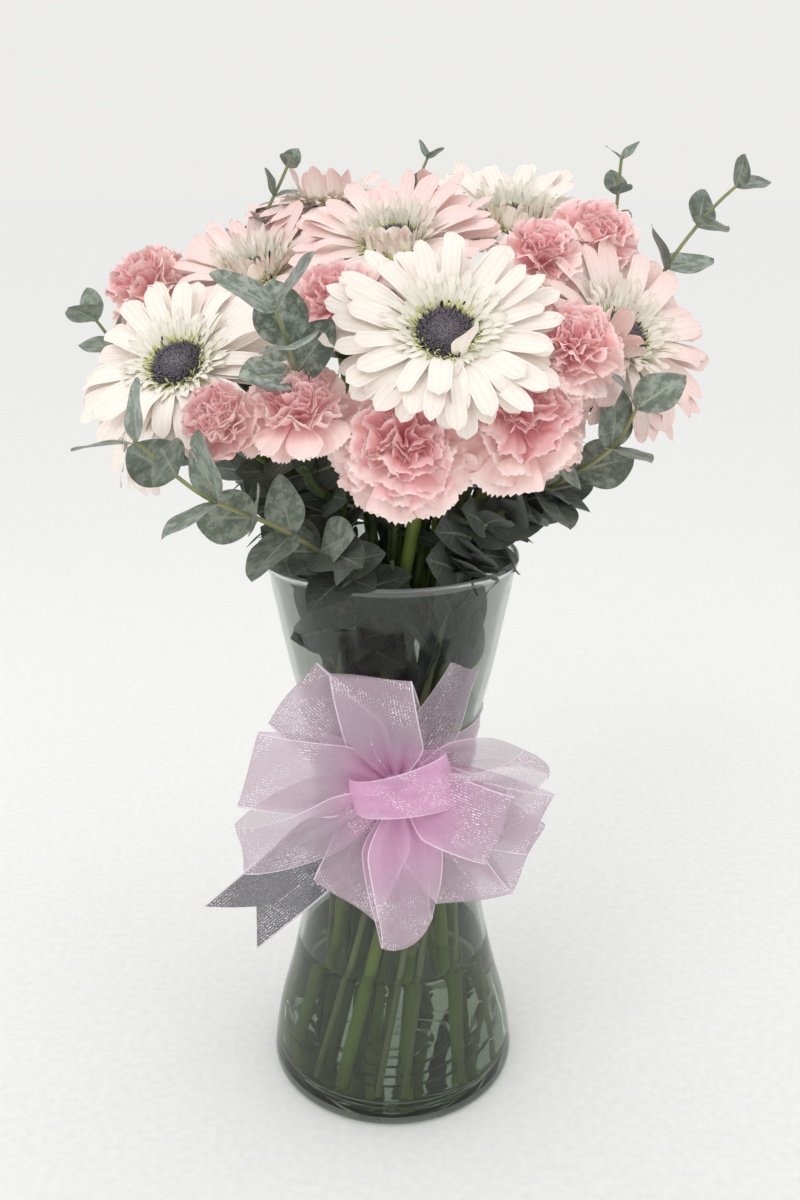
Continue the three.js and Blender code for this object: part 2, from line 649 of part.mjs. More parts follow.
function bandSolid() {
  const { bandLow, bandHigh, thick } = RIBBON;
  const inner = GAP + 0.05;
  const heights = [bandLow, ...VASE_LEVELS.filter((z) => z > bandLow && z < bandHigh), bandHigh];
  const outside = heights.map((z) => [outerRadius(z) + inner + thick, z]);
  const inside = heights.map((z) => [outerRadius(z) + inner, z]).reverse();
  return toSolid(lathe([...outside, ...inside, outside[0]], VASE_SIDES));
}

// Local frame of a loop: x along its run, y across the ribbon, z the way it opens.
function ribbonMatrix({ toward, lean, roll }) {
  const level = Math.cos(rad(lean));
  const run = vec(Math.cos(rad(toward)) * level, -Math.sin(rad(lean)), Math.sin(rad(toward)) * level);
  const front = vec(0, -1, 0).addScaledVector(run, run.y).normalize();
  const across = front.clone().cross(run).applyAxisAngle(run, rad(roll));
  const open = run.clone().cross(across);
  return new THREE.Matrix4().makeBasis(run, across, open).setPosition(...RIBBON.knot);
}

// The ribbon is gathered at the knot and spreads to its full width.
function gathered(geometry, length) {
  const position = geometry.attributes.position;
  for (let n = 0; n < position.count; n += 1) {
    const share = Math.min(Math.max(position.getX(n) / length, 0) * RIBBON.gather, 1);
    position.setY(n, position.getY(n) * lerp(0.16, 1, share));
  }
  return geometry;
}

function loopSolid(loop) {
  const { length, open } = loop;
  const { width, thick } = RIBBON;
  const corners = (list) => list.map(([x, y]) => new THREE.Vector2(x, y));
  const belly = length * 0.6;
  const outline = new THREE.Shape(corners([
    [5, 0], [belly, -open / 2], [length, -open * 0.25], [length, open * 0.25], [belly, open / 2],
  ]));
  if (loop.hollow) {
    const end = length - thick;
    const half = open / 2 - thick;
    outline.holes.push(new THREE.Path(corners([
      [20, 0], [belly, -half], [end, -open * 0.16], [end, open * 0.16], [belly, half],
    ])));
  }
  const geometry = new THREE.ExtrudeGeometry(outline, { depth: width, bevelEnabled: false });
  geometry.translate(0, 0, -width / 2).rotateX(-Math.PI / 2);
  return placed(toSolid(gathered(geometry, length)), ribbonMatrix(loop));
}

function tailSolid(tail) {
  const { width, thick } = RIBBON;
  const half = width / 2;
  const outline = new THREE.Shape([
    [2, -half], [tail.length, -half], [tail.length - half * 1.1, 0], [tail.length, half], [2, half],
  ].map(([x, y]) => new THREE.Vector2(x, y)));
  const geometry = new THREE.ExtrudeGeometry(outline, { depth: thick, bevelEnabled: false });
  geometry.translate(0, 0, -thick / 2);
  return placed(toSolid(gathered(geometry, tail.length)), ribbonMatrix(tail));
}

function knotSolid() {
  const { width, thick, knot } = RIBBON;
  const { across, deep, tilt, aside, forward, up, tieWidth, tieHeight } = KNOT;
  const [x, y, z] = knot;
  const front = y - forward;
  const roll = new THREE.Shape().absellipse(0, 0, across / 2, deep / 2, 0, TAU, false);
  roll.holes.push(new THREE.Path().absellipse(0, 0, across / 2 - thick, deep / 2 - thick, 0, TAU, true));
  const loop = new THREE.ExtrudeGeometry(roll, { depth: width, bevelEnabled: false, curveSegments: 3 });
  loop.translate(0, 0, -width / 2).rotateY(rad(tilt)).translate(x + aside, front, z + up);
  const back = -outerRadius(z + tieHeight / 2) - thick - 2 * GAP;
  const depth = back - front;
  const tie = new THREE.BoxGeometry(tieWidth, depth, tieHeight).translate(x, back - depth / 2, z);
  return toSolid(loop).add(toSolid(tie));
}

// ---- Assembly -----------------------------------------------------------------------------

function bloomStem(kind, bloom, number, back, calyx) {
  const along = facing(bloom);
  const end = vec(...bloom.at).addScaledVector(along, -back - calyx);
  return { owner: `${kind}_${number}`, kind, bloom, back, along, end, exit: EXIT_HEIGHT };
}

const sorts = { gerbera: GERBERA, carnation: CARNATION, eucalyptus: EUCALYPTUS };
const stems = [
  ...GERBERAS.map((bloom, k) => bloomStem('gerbera', bloom, k + 1, GERBERA.back, GERBERA.calyxDepth)),
  ...CARNATIONS.map((bloom, k) => (
    bloomStem('carnation', bloom, k + 1, bloom.radius * CARNATION.back, CARNATION.calyxLength)
  )),
  ...SPRAYS.map((spray, k) => (
    { owner: `eucalyptus_${k + 1}`, kind: 'eucalyptus', spray, end: vec(...spray.via[1]), ...spray }
  )),
];
stems.forEach((stem) => {
  stem.radius = sorts[stem.kind].stemRadius;
});
bundlePlan(stems).forEach((place, k) => {
  stems[k].route = stems[k].spray ? sprayRoute(place, stems[k]) : stemRoute(place, stems[k]);
});

const LOOKS = {
  glass: { color: 0xb9c2bd, roughness: 0.05, metalness: 0, transparent: true, opacity: 0.35 },
  water: { color: 0x8fa08c, roughness: 0.02, metalness: 0, transparent: true, opacity: 0.4 },
  organza: { color: 0xd9a5c8, roughness: 0.45, metalness: 0 },
  cream: { color: 0xf3ddd3, roughness: 0.6, metalness: 0 },
  pink: { color: 0xeec0bf, roughness: 0.6, metalness: 0 },
  eye: { color: 0x3a2a33, roughness: 0.7, metalness: 0 },
  stem: { color: 0x5d7040, roughness: 0.55, metalness: 0 },
  carnation: { color: 0xe08c96, roughness: 0.65, metalness: 0 },
  eucalyptus: { color: 0x5f7468, roughness: 0.6, metalness: 0 },
};

// Every plant piece: what must stay whole (core) and what gives way to its neighbours (fringe),
// each as a function of how far it is swollen, in the object's frame.
const plants = stems.flatMap((stem) => {
  const { owner, kind, bloom, spray, back, route } = stem;
  const { stemRadius, stemSides } = sorts[kind];
  if (spray) {
    return [{
      name: owner, owner, depth: spray.via.at(-1)[1], look: 'eucalyptus',
      core: (swell) => sprayStem(spray, route, swell),
      fringe: (swell) => sprayLeaves(spray, route, swell),
    }];
  }
  const frame = bloomMatrix(bloom, back);
  const shared = { owner, depth: bloom.at[1] };
  const petals = { ...shared, name: `${owner}_petals`, frame };
  const stalk = { ...shared, name: `${owner}_stem`, look: 'stem' };
  const sunk = route.at(-1).clone().addScaledVector(stem.along, 4); // into the calyx
  const stalkTube = (swell) => tube([...route, sunk], stemRadius + swell, stemSides);
  if (kind === 'gerbera') {
    return [
      { ...petals, look: bloom.tint ?? 'cream',
        fringe: (swell) => placed(gerberaPetals(bloom, swell), frame),
        room: () => placed(gerberaRoom(bloom), frame) },
      { ...shared, name: `${owner}_eye`, look: 'eye', frame,
        core: (swell) => placed(gerberaEye(bloom, swell), frame) },
      { ...stalk, core: (swell) => stalkTube(swell).add(placed(gerberaCalyx(swell), frame)) },
    ];
  }
  return [
    { ...petals, look: 'carnation',
      fringe: (swell) => placed(carnationPetals(bloom, swell), frame),
      room: () => placed(carnationRoom(bloom), frame) },
    { ...stalk,
      core: (swell) => stalkTube(swell).add(placed(carnationCalyx(bloom, swell), frame)),
      fringe: (swell) => carnationLeaves(route, bloom.seed, swell) },
  ];
});

function boxesMeet(a, b) {
  const one = a.boundingBox();
  const two = b.boundingBox();
  return [0, 1, 2].every((axis) => one.min[axis] < two.max[axis] && two.min[axis] < one.max[axis]);
}

const vase = vaseSolid();
const rooms = plants
  .filter((plant) => plant.core)
  .map(({ owner, core }) => ({ owner, solid: core(CLEARANCE) }));
rooms.push({ owner: 'vase', solid: vaseMouthRoom() });

const object = new THREE.Group();

function addMesh(name, look, solid, frame = new THREE.Matrix4()) {
  const local = placed(solid, frame.clone().invert());
  const mesh = new THREE.Mesh(toGeometry(local), new THREE.MeshStandardMaterial(LOOKS[look]));
  mesh.name = name;
  frame.decompose(mesh.position, mesh.quaternion, mesh.scale);
  object.add(mesh);
}

addMesh('vase', 'glass', vase);
addMesh('water', 'water', waterSolid(stems.map(({ route, radius, kind }) => {
  const foot = route[0].clone().lerp(route[1], -0.05);
  return tube([foot, route[1]], radius + GAP + 0.1, sorts[kind].stemSides);
})));
addMesh('ribbon_band', 'organza', bandSolid());
const bow = joined([knotSolid(), ...LOOPS.map(loopSolid), ...TAILS.map(tailSolid)]);
addMesh('ribbon_bow', 'organza', largestBody(bow));

// Blooms and leaves nearer the front stay whole, and those behind give way to them.
plants.sort((a, b) => a.depth - b.depth);
for (const plant of plants) {
  let fringe = plant.fringe?.(0);
  for (const { owner, solid } of fringe ? rooms : []) {
    if (owner !== plant.owner && boxesMeet(fringe, solid)) fringe = fringe.subtract(solid);
  }
  const core = plant.core?.(0);
  const solid = largestBody(core && fringe ? core.add(fringe) : core ?? fringe);
  addMesh(plant.name, plant.look, solid, plant.frame);
  if (plant.room) rooms.push({ owner: plant.owner, solid: plant.room() });
  if (fringe) rooms.push({ owner: plant.owner, solid: plant.fringe(CLEARANCE).add(solid) });
}

export default object;
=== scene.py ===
# Mixed bouquet of gerberas, carnations and eucalyptus in a glass gathering vase, with an
# organza bow tied round its waist. Lengths in this script are millimetres until a mesh is made.

from itertools import combinations
from math import atan2, cos, log, pi, radians, sin, sqrt

import bpy
import numpy as np
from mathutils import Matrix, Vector


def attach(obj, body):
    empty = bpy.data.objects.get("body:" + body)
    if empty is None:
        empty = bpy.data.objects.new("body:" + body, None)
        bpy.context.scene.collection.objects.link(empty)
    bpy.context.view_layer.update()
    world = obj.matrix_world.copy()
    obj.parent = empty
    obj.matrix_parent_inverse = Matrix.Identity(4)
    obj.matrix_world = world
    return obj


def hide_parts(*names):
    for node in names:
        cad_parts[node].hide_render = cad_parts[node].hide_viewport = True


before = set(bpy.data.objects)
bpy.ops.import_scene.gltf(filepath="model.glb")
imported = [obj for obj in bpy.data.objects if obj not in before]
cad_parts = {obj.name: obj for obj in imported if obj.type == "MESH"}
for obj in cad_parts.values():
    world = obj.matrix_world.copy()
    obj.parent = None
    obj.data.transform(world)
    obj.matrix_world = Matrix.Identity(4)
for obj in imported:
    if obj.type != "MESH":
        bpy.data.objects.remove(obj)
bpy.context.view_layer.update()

MM = 0.001
TAU = 2 * pi
UP = np.array([0.0, 0.0, 1.0])

# ---- Driving dimensions, as in the solids ----

VASE_HEIGHT = 270
FLOOR_HEIGHT = 9
WALL = 2.6
WATER_LEVEL = 70
STEM_FOOT = 10.4
FLOOR_RINGS = [38, 30, 22, 14, 7]
VASE_OUTLINE = [
    (59.4, 0), (61, 5), (57.5, 29), (49.8, 59), (42.5, 98), (38, 148), (40.3, 185), (47.3, 218), (57.1, 270),
]
VASE_LEVELS = [0, 5, 25, 52, 84, 120, 162, 200, 226, 250, 270]

BUNDLE_TWIST = radians(100)
FOOT_SPREAD, EXIT_SPREAD = 49, 41
EXIT_HEIGHT = 285
WAIST_HEIGHT = 165
STEM_AIR = 3
PLAN_REACH = 100
PLAN_ROUNDS = 600
BEND_REACH = 0.4
EASE = 15

GERBERA_STEM, CARNATION_STEM, SPRAY_STEM = 3.0, 2.1, 1.5
GERBERA_BACK, GERBERA_CALYX, GERBERA_REACH, EYE_RADIUS = 8, 10, 40, 11
CARNATION_BACK, CARNATION_CALYX = 0.42, 23
LARGE_CARNATION = 22


def table(fields, *rows):
    """Rows of values under the names of their fields; a dict at the end of a row holds more."""
    names = fields.split()
    return [dict(zip(names, row), **(row[-1] if len(row) > len(names) else {})) for row in rows]


# Middle of the face, turn, rise, cup, size, colour and hang, which lifts the petals on one side
# and bends their ends down (lift, bend, side). lean tips the whole bloom, crown raises the
# florets round the eye, and over lists small curled petals there (angle, length, width, rise).
GERBERAS = table(
    "at turn rise cup size look hang",
    ((20, -84, 379), 3, 42, 8, 1.08, "cream", (26, 50, 266), dict(over=[
        (-60, 17, 10.5, 88), (-84, 12, 6, 30)])),
    ((-82, -62, 365), -20, 47, 7, 1.06, "cream", (14, 34, 255)),
    ((92, -46, 373), 33, 40, 11, 1.12, "blush", (16, 66, 218), dict(lean=10, side=120, crown=26, over=[
        (196, 23, 9, 82), (217, 19, 8, 76), (176, 24, 8, 66), (238, 20, 8.5, 64)])),
    ((-58, 2, 395), -24, 64, 17, 1.06, "pink", (4, 16, 270), dict(crown=78, over=[
        (-62, 10, 6, 88), (-118, 9, 6, 84)])),
    ((0, -24, 408), -14, 58, 13, 1.02, "pink", (6, 22, 270), dict(crown=80, over=[
        (-136, 12, 9, 108), (-112, 13, 8.5, 116), (-68, 13, 8.5, 116), (-44, 12, 9, 104)])),
    ((52, 12, 416), 4, 66, 16, 1.02, "cream", (2, 14, 270), dict(crown=84, over=[
        (-112, 11, 7, 94), (-88, 9, 7, 86), (-30, 12, 6, 70)])),
    ((-28, 42, 424), -12, 80, 0, 0.98, "pink", (0, 40, 262), dict(crown=30, over=[
        (222, 17, 7.5, 66), (244, 14, 7, 84), (262, 18, 7.5, 72),
        (282, 13, 7.5, 90), (300, 17, 7.5, 70), (322, 15, 7, 78)])),
    ((24, 64, 420), 172, 84, 12, 0.95, "pink", (0, 10, 270), dict(crown=10)),
    ((-110, -30, 340), -56, 10, 2, 0.95, "cream", (10, 26, 270)),
)
# open is how far a carnation has opened, and fans are broad petals that hang from it, each an
# angle and a length as a share of the radius.
CARNATIONS = table(
    "at turn rise radius open fans",
    ((5, -84, 338), 0, 24, 27, 1.0, [(-82, 1.25), (-48, 1.2), (-125, 1.0)]),
    ((48, -74, 348), 12, 30, 29, 1.0, [(-118, 1.3), (-8, 1.15), (14, 1.1), (-30, 1.05)]),
    ((-34, -80, 350), -6, 62, 21, 0.72, [(-132, 1.35), (-94, 1.2), (-58, 1.2)]),
    ((-62, -84, 345), -22, 34, 17, 0.55, [(-84, 1.2), (-40, 1.12), (4, 1.05), (-128, 1.1)]),
    ((68, -68, 371), 8, 44, 19, 0.9, [(-150, 1.25), (-40, 1.1)]),
    ((-22, -50, 385), -10, 50, 18, 0.9, [(-90, 1.1)]),
    ((82, -14, 407), 24, 58, 19, 0.85, [(-60, 1.1)]),
    ((58, -38, 401), 12, 56, 17, 0.9, [(-120, 1.2)]),
    ((-106, 14, 386), -70, 48, 20, 0.9, [(-90, 1.1)]),
    ((16, 92, 372), 172, 26, 25, 1.0, [(-100, 1.15), (-50, 1.1)]),
)
# The height at which each spray leaves the bundle, pairs of leaves, where the first sits along
# the free part, the leaves' length from first to last, the first pair's angle, how pale the
# leaves are, and points to the tip. Three sprays have a side twig.
SPRAYS = table(
    "exit pairs first leaf roll pale via",
    (280, 4, 0.68, (24, 27), 122, 1.0, [(-33, -46, 324), (-34, -70, 352), (-36, -86, 372), (-40, -92, 386)]),
    (245, 6, 0.46, (26, 24), 20, 0.45, [
        (-17, -43, 268), (-30, -68, 291), (-46, -84, 306), (-67, -98, 320), (-89, -106, 342)]),
    (280, 4, 0.5, (26, 22), 80, 0.5, [(50, -26, 296), (72, -50, 316), (86, -66, 332), (92, -74, 348)]),
    (285, 4, 0.66, (25, 14), 40, 0.55, [
        (84, 10, 346), (108, 4, 380), (120, 0, 401), (132, -6, 418), (140, -8, 426)]),
    (285, 5, 0.68, (17, 10), 10, 0.6, [(76, 34, 362), (95, 28, 402), (97, 20, 437)],
     dict(twig=(104, 62, 376), twig_leaf=(21, 15))),
    (285, 5, 0.68, (17, 10), 70, 0.5, [(-6, 56, 340), (-2, 80, 392), (17, 78, 438)],
     dict(twig=(-26, 98, 378), twig_leaf=(21, 15))),
    (285, 5, 0.68, (18, 10), 30, 0.5, [(-52, 44, 346), (-64, 44, 390), (-44, 28, 434)],
     dict(twig=(-86, 72, 372), twig_leaf=(22, 16))),
    (285, 4, 0.68, (20, 16), 50, 0.3, [(-80, -6, 330), (-108, -12, 354), (-121, -18, 374)]),
    (275, 5, 0.35, (24, 16), 15, 0.5, [(44, 52, 316), (66, 76, 348), (84, 84, 384)]),
)
TWIG_START, TWIG_LEAD = 0.3, 0.4
TWIG_LOOK = dict(pairs=3, first=0.45, roll=35)
for first_seed, plants in ((11, GERBERAS), (31, CARNATIONS), (51, SPRAYS)):
    for k, plant in enumerate(plants):
        plant["seed"] = first_seed + k

RIBBON_WIDTH = 33
GATHER = 2.3
BAND_LOW, BAND_HIGH = 166, 194
KNOT = np.array([2.4, -56.0, 181.0])
# slant makes the fold at a loop's end run askew, in mm from one edge to the middle, pink is how
# far the knot's pink runs along it, taper narrows it towards its fold and round takes off the
# fold's corners. A tail ends in a cut notch, and the column after notch is how far it turns dark grey,
# painted shade for a tail that hangs in shade.
LOOPS = table(
    "toward length lean roll open slant",
    (101, 58, 12, -8, 10, 3),
    (134, 64, 4, 8, 8, -2),
    (165, 67, 16, 10, 9, 2),
    (199, 73, 12, -22, 15, 3, dict(taper=0.1)),
    (247, 60, 5, 6, 8, 4),
    (274, 71, 21, -14, 15, -5, dict(pink=0.95, taper=0.3, round=7)),
    (303, 64, 6, 8, 9, 5, dict(pink=0.8)),
    (330, 67, 4, -6, 8, -2, dict(pink=0.8)),
    (347, 50, 26, -6, 11, 2, dict(pink=1.3)),
    (350, 64, 14, 8, 8, 3, dict(pink=0.9)),
    (14, 66, 8, 34, 16, -3, dict(taper=0.2, round=5)),
)
TAILS = table(
    "toward length lean roll notch silver taper",
    (225, 108, -2, 0, 18, 1.0, 0),
    (62, 62, 0, 30, 1, 0.6, 0.5),
)

# ---- Small helpers ----


def seeded(seed):
    """The same repeatable numbers from 0 to 1 that place the leaves of the solids."""
    state = seed * 2654435761 & 0xFFFFFFFF

    def draw():
        nonlocal state
        state = (state + 0x6D2B79F5) & 0xFFFFFFFF
        mixed = (state ^ state >> 15) * (1 | state) & 0xFFFFFFFF
        mixed = (mixed + ((mixed ^ mixed >> 7) * (61 | mixed) & 0xFFFFFFFF) & 0xFFFFFFFF) ^ mixed
        return (mixed ^ mixed >> 14) / 4294967296

    return draw


def unit(v):
    return v / max(np.linalg.norm(v), 1e-9)


def vec(*xyz):
    return np.array(xyz, float)


def smooth(x, low=0.0, high=1.0):
    t = np.clip((x - low) / (high - low), 0, 1)
    return t * t * (3 - 2 * t)


def turned(v, axis, angle):
    """Rodrigues' rotation of v round a unit axis."""
    c, s = cos(angle), sin(angle)
    return v * c + np.cross(axis, v) * s + axis * np.dot(axis, v) * (1 - c)


def compass(angle):
    return vec(cos(angle), sin(angle), 0)


def circle(sides):
    return np.arange(sides) * TAU / sides


def polar(angle, r, lateral, z):
    """Points round an upright axis from their distance out along an angle, aside and up."""
    x = r * np.cos(angle) - lateral * np.sin(angle)
    y = r * np.sin(angle) + lateral * np.cos(angle)
    return np.stack(np.broadcast_arrays(x, y, z), axis=-1)


def places_on(rows, cols):
    """How far along and across a grid its points lie: 0 to 1 and -1 to 1."""
    return np.linspace(0, 1, rows)[:, None], np.linspace(-1, 1, cols)[None, :]


def summed(steps):
    return np.concatenate([[0], np.cumsum(steps)])


PLACES = ("along", "across", "tone", "layer")


class Mesh:
    """Collects grids of points with where each point lies on its petal, leaf or strip."""

    def __init__(self):
        self.points, self.looks, self.faces, self.slots, self.count = [], [], [], [], 0

    def grid(self, points, along=None, across=None, tone=0.0, layer=0.0, slot=0, closed=False):
        rows, cols = points.shape[:2]
        u, v = places_on(rows, cols)
        look = np.empty((rows, cols, 4))
        look[..., 0], look[..., 1] = u if along is None else along, v if across is None else across
        look[..., 2], look[..., 3] = tone, layer
        self.points.append(points.reshape(-1, 3))
        self.looks.append(look.reshape(-1, 4))
        index = self.count + np.arange(rows * cols).reshape(rows, cols)
        if closed:
            index = np.concatenate([index, index[:, :1]], axis=1)
        quads = np.stack([index[:-1, :-1], index[:-1, 1:], index[1:, 1:], index[1:, :-1]], axis=-1)
        self.faces.append(quads.reshape(-1, 4))
        self.slots.append(np.full(len(self.faces[-1]), slot))
        self.count += rows * cols

    def moved(self, matrix):
        self.points = [p @ matrix[:3, :3].T + matrix[:3, 3] for p in self.points]
        return self

    def add(self, other):
        self.points += other.points
        self.looks += other.looks
        self.faces += [f + self.count for f in other.faces]
        self.slots += other.slots
        self.count += other.count

    def object(self, name, materials):
        mesh = bpy.data.meshes.new(name)
        mesh.from_pydata(np.concatenate(self.points) * MM, [], np.concatenate(self.faces), shade_flat=False)
        mesh.polygons.foreach_set("material_index", np.concatenate(self.slots).astype(np.int32))
        for label, values in zip(PLACES, np.concatenate(self.looks).T):
            data = mesh.attributes.new(label, "FLOAT", "POINT")
            data.data.foreach_set("value", values.astype(np.float32))
        mesh.validate()
        for material in materials:
            mesh.materials.append(material)
        thing = bpy.data.objects.new(name, mesh)
        bpy.context.scene.collection.objects.link(thing)
        return thing


def piece(mesh, name, node, slot_name, *materials):
    """Makes the piece that stands for a node of the solids."""
    thing = mesh.object(name, materials)
    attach(thing, "root")
    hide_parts(node)
    return thing


def begun(item, extra=0):
    """An empty mesh and the item's own random numbers."""
    return Mesh(), np.random.default_rng(item["seed"] + extra)


def frames_along(route):
    """Two vectors square to a route at each of its points, which don't spin round it."""
    tangents = np.gradient(route, axis=0)
    tangents /= np.linalg.norm(tangents, axis=1)[:, None]
    side = unit(np.cross(tangents[0], UP if abs(tangents[0][2]) < 0.9 else vec(1, 0, 0)))
    sides = []
    for t in tangents:
        side = unit(side - t * np.dot(side, t))
        sides.append(side)
    sides = np.array(sides)
    return sides, np.cross(tangents, sides)


def tube(mesh, route, radius, sides=10, tone=0.0, cap=True):
    """A tube along a route. radius is a number or one for each point."""
    a, b = frames_along(route)
    radius = np.broadcast_to(np.asarray(radius, float), (len(route),))
    if cap:
        route, a, b = (np.concatenate([w[:1], w, w[-1:]]) for w in (route, a, b))
        radius = np.concatenate([[radius[0] * 0.02], radius, [radius[-1] * 0.02]])
    angle = circle(sides)
    ring = a[:, None] * np.cos(angle)[:, None] + b[:, None] * np.sin(angle)[:, None]
    mesh.grid(route[:, None] + ring * radius[:, None, None], across=np.sin(angle), tone=tone, closed=True)


def lathe(mesh, profile, sides, slot=0):
    profile = np.array(profile, float)
    mesh.grid(polar(circle(sides), profile[:, :1], 0, profile[:, 1:]), slot=slot, closed=True)


# ---- Curves that the solids share ----


def hermite(start, end, leave, arrive, t):
    """A cubic from start to end with its direction at each."""
    square = -3 * start + 3 * end - 2 * leave - arrive
    return (2 * start - 2 * end + leave + arrive) * t**3 + square * t**2 + leave * t + start


def outline_radius():
    """The vase's outer radius by height: a uniform Catmull-Rom curve through the outline."""
    pts = np.array(VASE_OUTLINE, float)
    curve = []
    for place in np.linspace(0, 1, 161) * (len(pts) - 1):
        k = min(int(place), len(pts) - 2)
        w = place - k
        p0, p1, p2, p3 = pts[max(k - 1, 0)], pts[k], pts[k + 1], pts[min(k + 2, len(pts) - 1)]
        curve.append(hermite(p1, p2, (p2 - p0) / 2, (p3 - p1) / 2, w))
    curve = np.array(curve)
    return curve[:, 1], curve[:, 0]


OUTLINE_Z, OUTLINE_R = outline_radius()


def outer_radius(z):
    return np.interp(z, OUTLINE_Z, OUTLINE_R)


def inner_radius(z):
    return outer_radius(z) - WALL


def faceted_radius(z):
    """Outer radius of the solid, which is straight between its levels."""
    return np.interp(z, VASE_LEVELS, [outer_radius(level) for level in VASE_LEVELS])


def facing(item):
    turn, rise = radians(item["turn"]), radians(item["rise"])
    return vec(sin(turn) * cos(rise), -cos(turn) * cos(rise), sin(rise))


def bloom_matrix(bloom):
    x, z = compass(radians(bloom["turn"])), facing(bloom)
    matrix = np.eye(4)
    matrix[:3] = np.stack([x, np.cross(z, x), z, vec(*bloom["at"]) - z * bloom["back"]], axis=1)
    return matrix


def clamped(place, most):
    return place * (min(abs(place), most) / (abs(place) or 1))


def bundle_plan(plants):
    """Where each stem stands in the bundle, as a share of its radius, worked out on complex numbers."""
    waist = (FOOT_SPREAD + EXIT_SPREAD) / 2 * cos(BUNDLE_TWIST / 2)
    room = float(faceted_radius(WAIST_HEIGHT)) - WALL - 1.5
    plan = [clamped(complex(*plant["end"][:2]) / PLAN_REACH, 1) * waist for plant in plants]
    for _ in range(PLAN_ROUNDS):
        for i, j in combinations(range(len(plan)), 2):
            step = plan[j] - plan[i]
            lack = plants[i]["thick"] + plants[j]["thick"] + STEM_AIR - abs(step)
            if lack > 0:
                push = step * ((lack / 2 + 0.02) / (abs(step) or 1))
                plan[i] -= push
                plan[j] += push
        plan = [clamped(p, min(room - plant["thick"], waist)) for p, plant in zip(plan, plants)]
    return [vec(p.real, p.imag) / waist for p in plan]


def bundle_point(place, height):
    c, s = cos(-BUNDLE_TWIST), sin(-BUNDLE_TWIST)
    low = vec(place[0] * c - place[1] * s, place[0] * s + place[1] * c) * FOOT_SPREAD
    share = (height - STEM_FOOT) / (EXIT_HEIGHT - STEM_FOOT)
    x, y = low + (place * EXIT_SPREAD - low) * share
    return vec(x, y, height)


def resampled(points, count):
    run = summed(np.linalg.norm(np.diff(points, axis=0), axis=1))
    at = np.linspace(0, run[-1], count)
    return np.stack([np.interp(at, run, points[:, k]) for k in range(3)], axis=1)


def catmull(points, per_span=14):
    """Centripetal Catmull-Rom curve."""
    pts = [np.array(p, float) for p in points]
    pts = [2 * pts[0] - pts[1], *pts, 2 * pts[-1] - pts[-2]]
    curve = []
    for k in range(1, len(pts) - 2):
        p0, p1, p2, p3 = pts[k - 1 : k + 3]
        d0, d1, d2 = (max(np.linalg.norm(b - a), 1e-6) ** 0.5 for a, b in ((p0, p1), (p1, p2), (p2, p3)))
        m1 = ((p1 - p0) / d0 - (p2 - p0) / (d0 + d1) + (p2 - p1) / d1) * d1
        m2 = ((p2 - p1) / d1 - (p3 - p1) / (d1 + d2) + (p3 - p2) / d2) * d1
        curve += [hermite(p1, p2, m1, m2, t) for t in np.arange(per_span) / per_span]
    curve.append(pts[-2])
    return np.array(curve)


def straight_run(foot, leave):
    return foot + (leave - foot) * np.linspace(0, 1, 15)[:-1, None]


def stem_route(bloom):
    """Straight through the bundle, then a bend that comes in along the bloom's own axis."""
    place, end = bloom["place"], bloom["end"]
    foot, leave = bundle_point(place, STEM_FOOT), bundle_point(place, EXIT_HEIGHT)
    reach = np.linalg.norm(leave - end) * BEND_REACH
    b, c = leave + unit(leave - foot) * reach, end - bloom["along"] * reach
    t = np.linspace(0, 1, 17)[:, None]
    bend = leave * (1 - t) ** 3 + 3 * b * t * (1 - t) ** 2 + 3 * c * t**2 * (1 - t) + end * t**3
    return np.concatenate([straight_run(foot, leave), bend])


def spray_route(spray):
    place = spray["place"]
    foot, leave = bundle_point(place, STEM_FOOT), bundle_point(place, spray["exit"] - EASE)
    free = catmull([leave, bundle_point(place, spray["exit"]), *spray["via"]])
    return straight_run(foot, leave), resampled(free, 48)


def side_of(run, angle):
    """A direction square to run, at an angle round it."""
    level = vec(-run[1], run[0], 0)
    if np.linalg.norm(level) < 0.2:
        level = vec(1, 0, 0) - run * run[0]
    level = unit(level)
    return level * cos(angle) + np.cross(run, level) * sin(angle)


# ---- Materials ----


class Field:
    """A number or colour that nodes work out, for plain sums, products and blends."""

    def __init__(self, nodes, socket):
        self.nodes, self.socket = nodes, socket

    def math(self, operation, other=0.0, clamp=False):
        return self.nodes.math(operation, self, other, clamp)

    def __add__(self, other):
        return self.math("ADD", other)

    def __mul__(self, other):
        return self.math("MULTIPLY", other)

    def __sub__(self, other):
        return self.math("SUBTRACT", other)

    def __rsub__(self, other):
        return self.nodes.math("SUBTRACT", other, self)

    def span(self, low, high, to_low=0.0, to_high=1.0):
        """Itself from low..high to to_low..to_high, clamped and eased."""
        inputs = dict(enumerate((self, low, high, to_low, to_high)))
        return self.nodes.field("ShaderNodeMapRange", 0, inputs, interpolation_type="SMOOTHSTEP")

    def mixed(self, other, factor):
        return self.nodes.mix(factor, self, other)


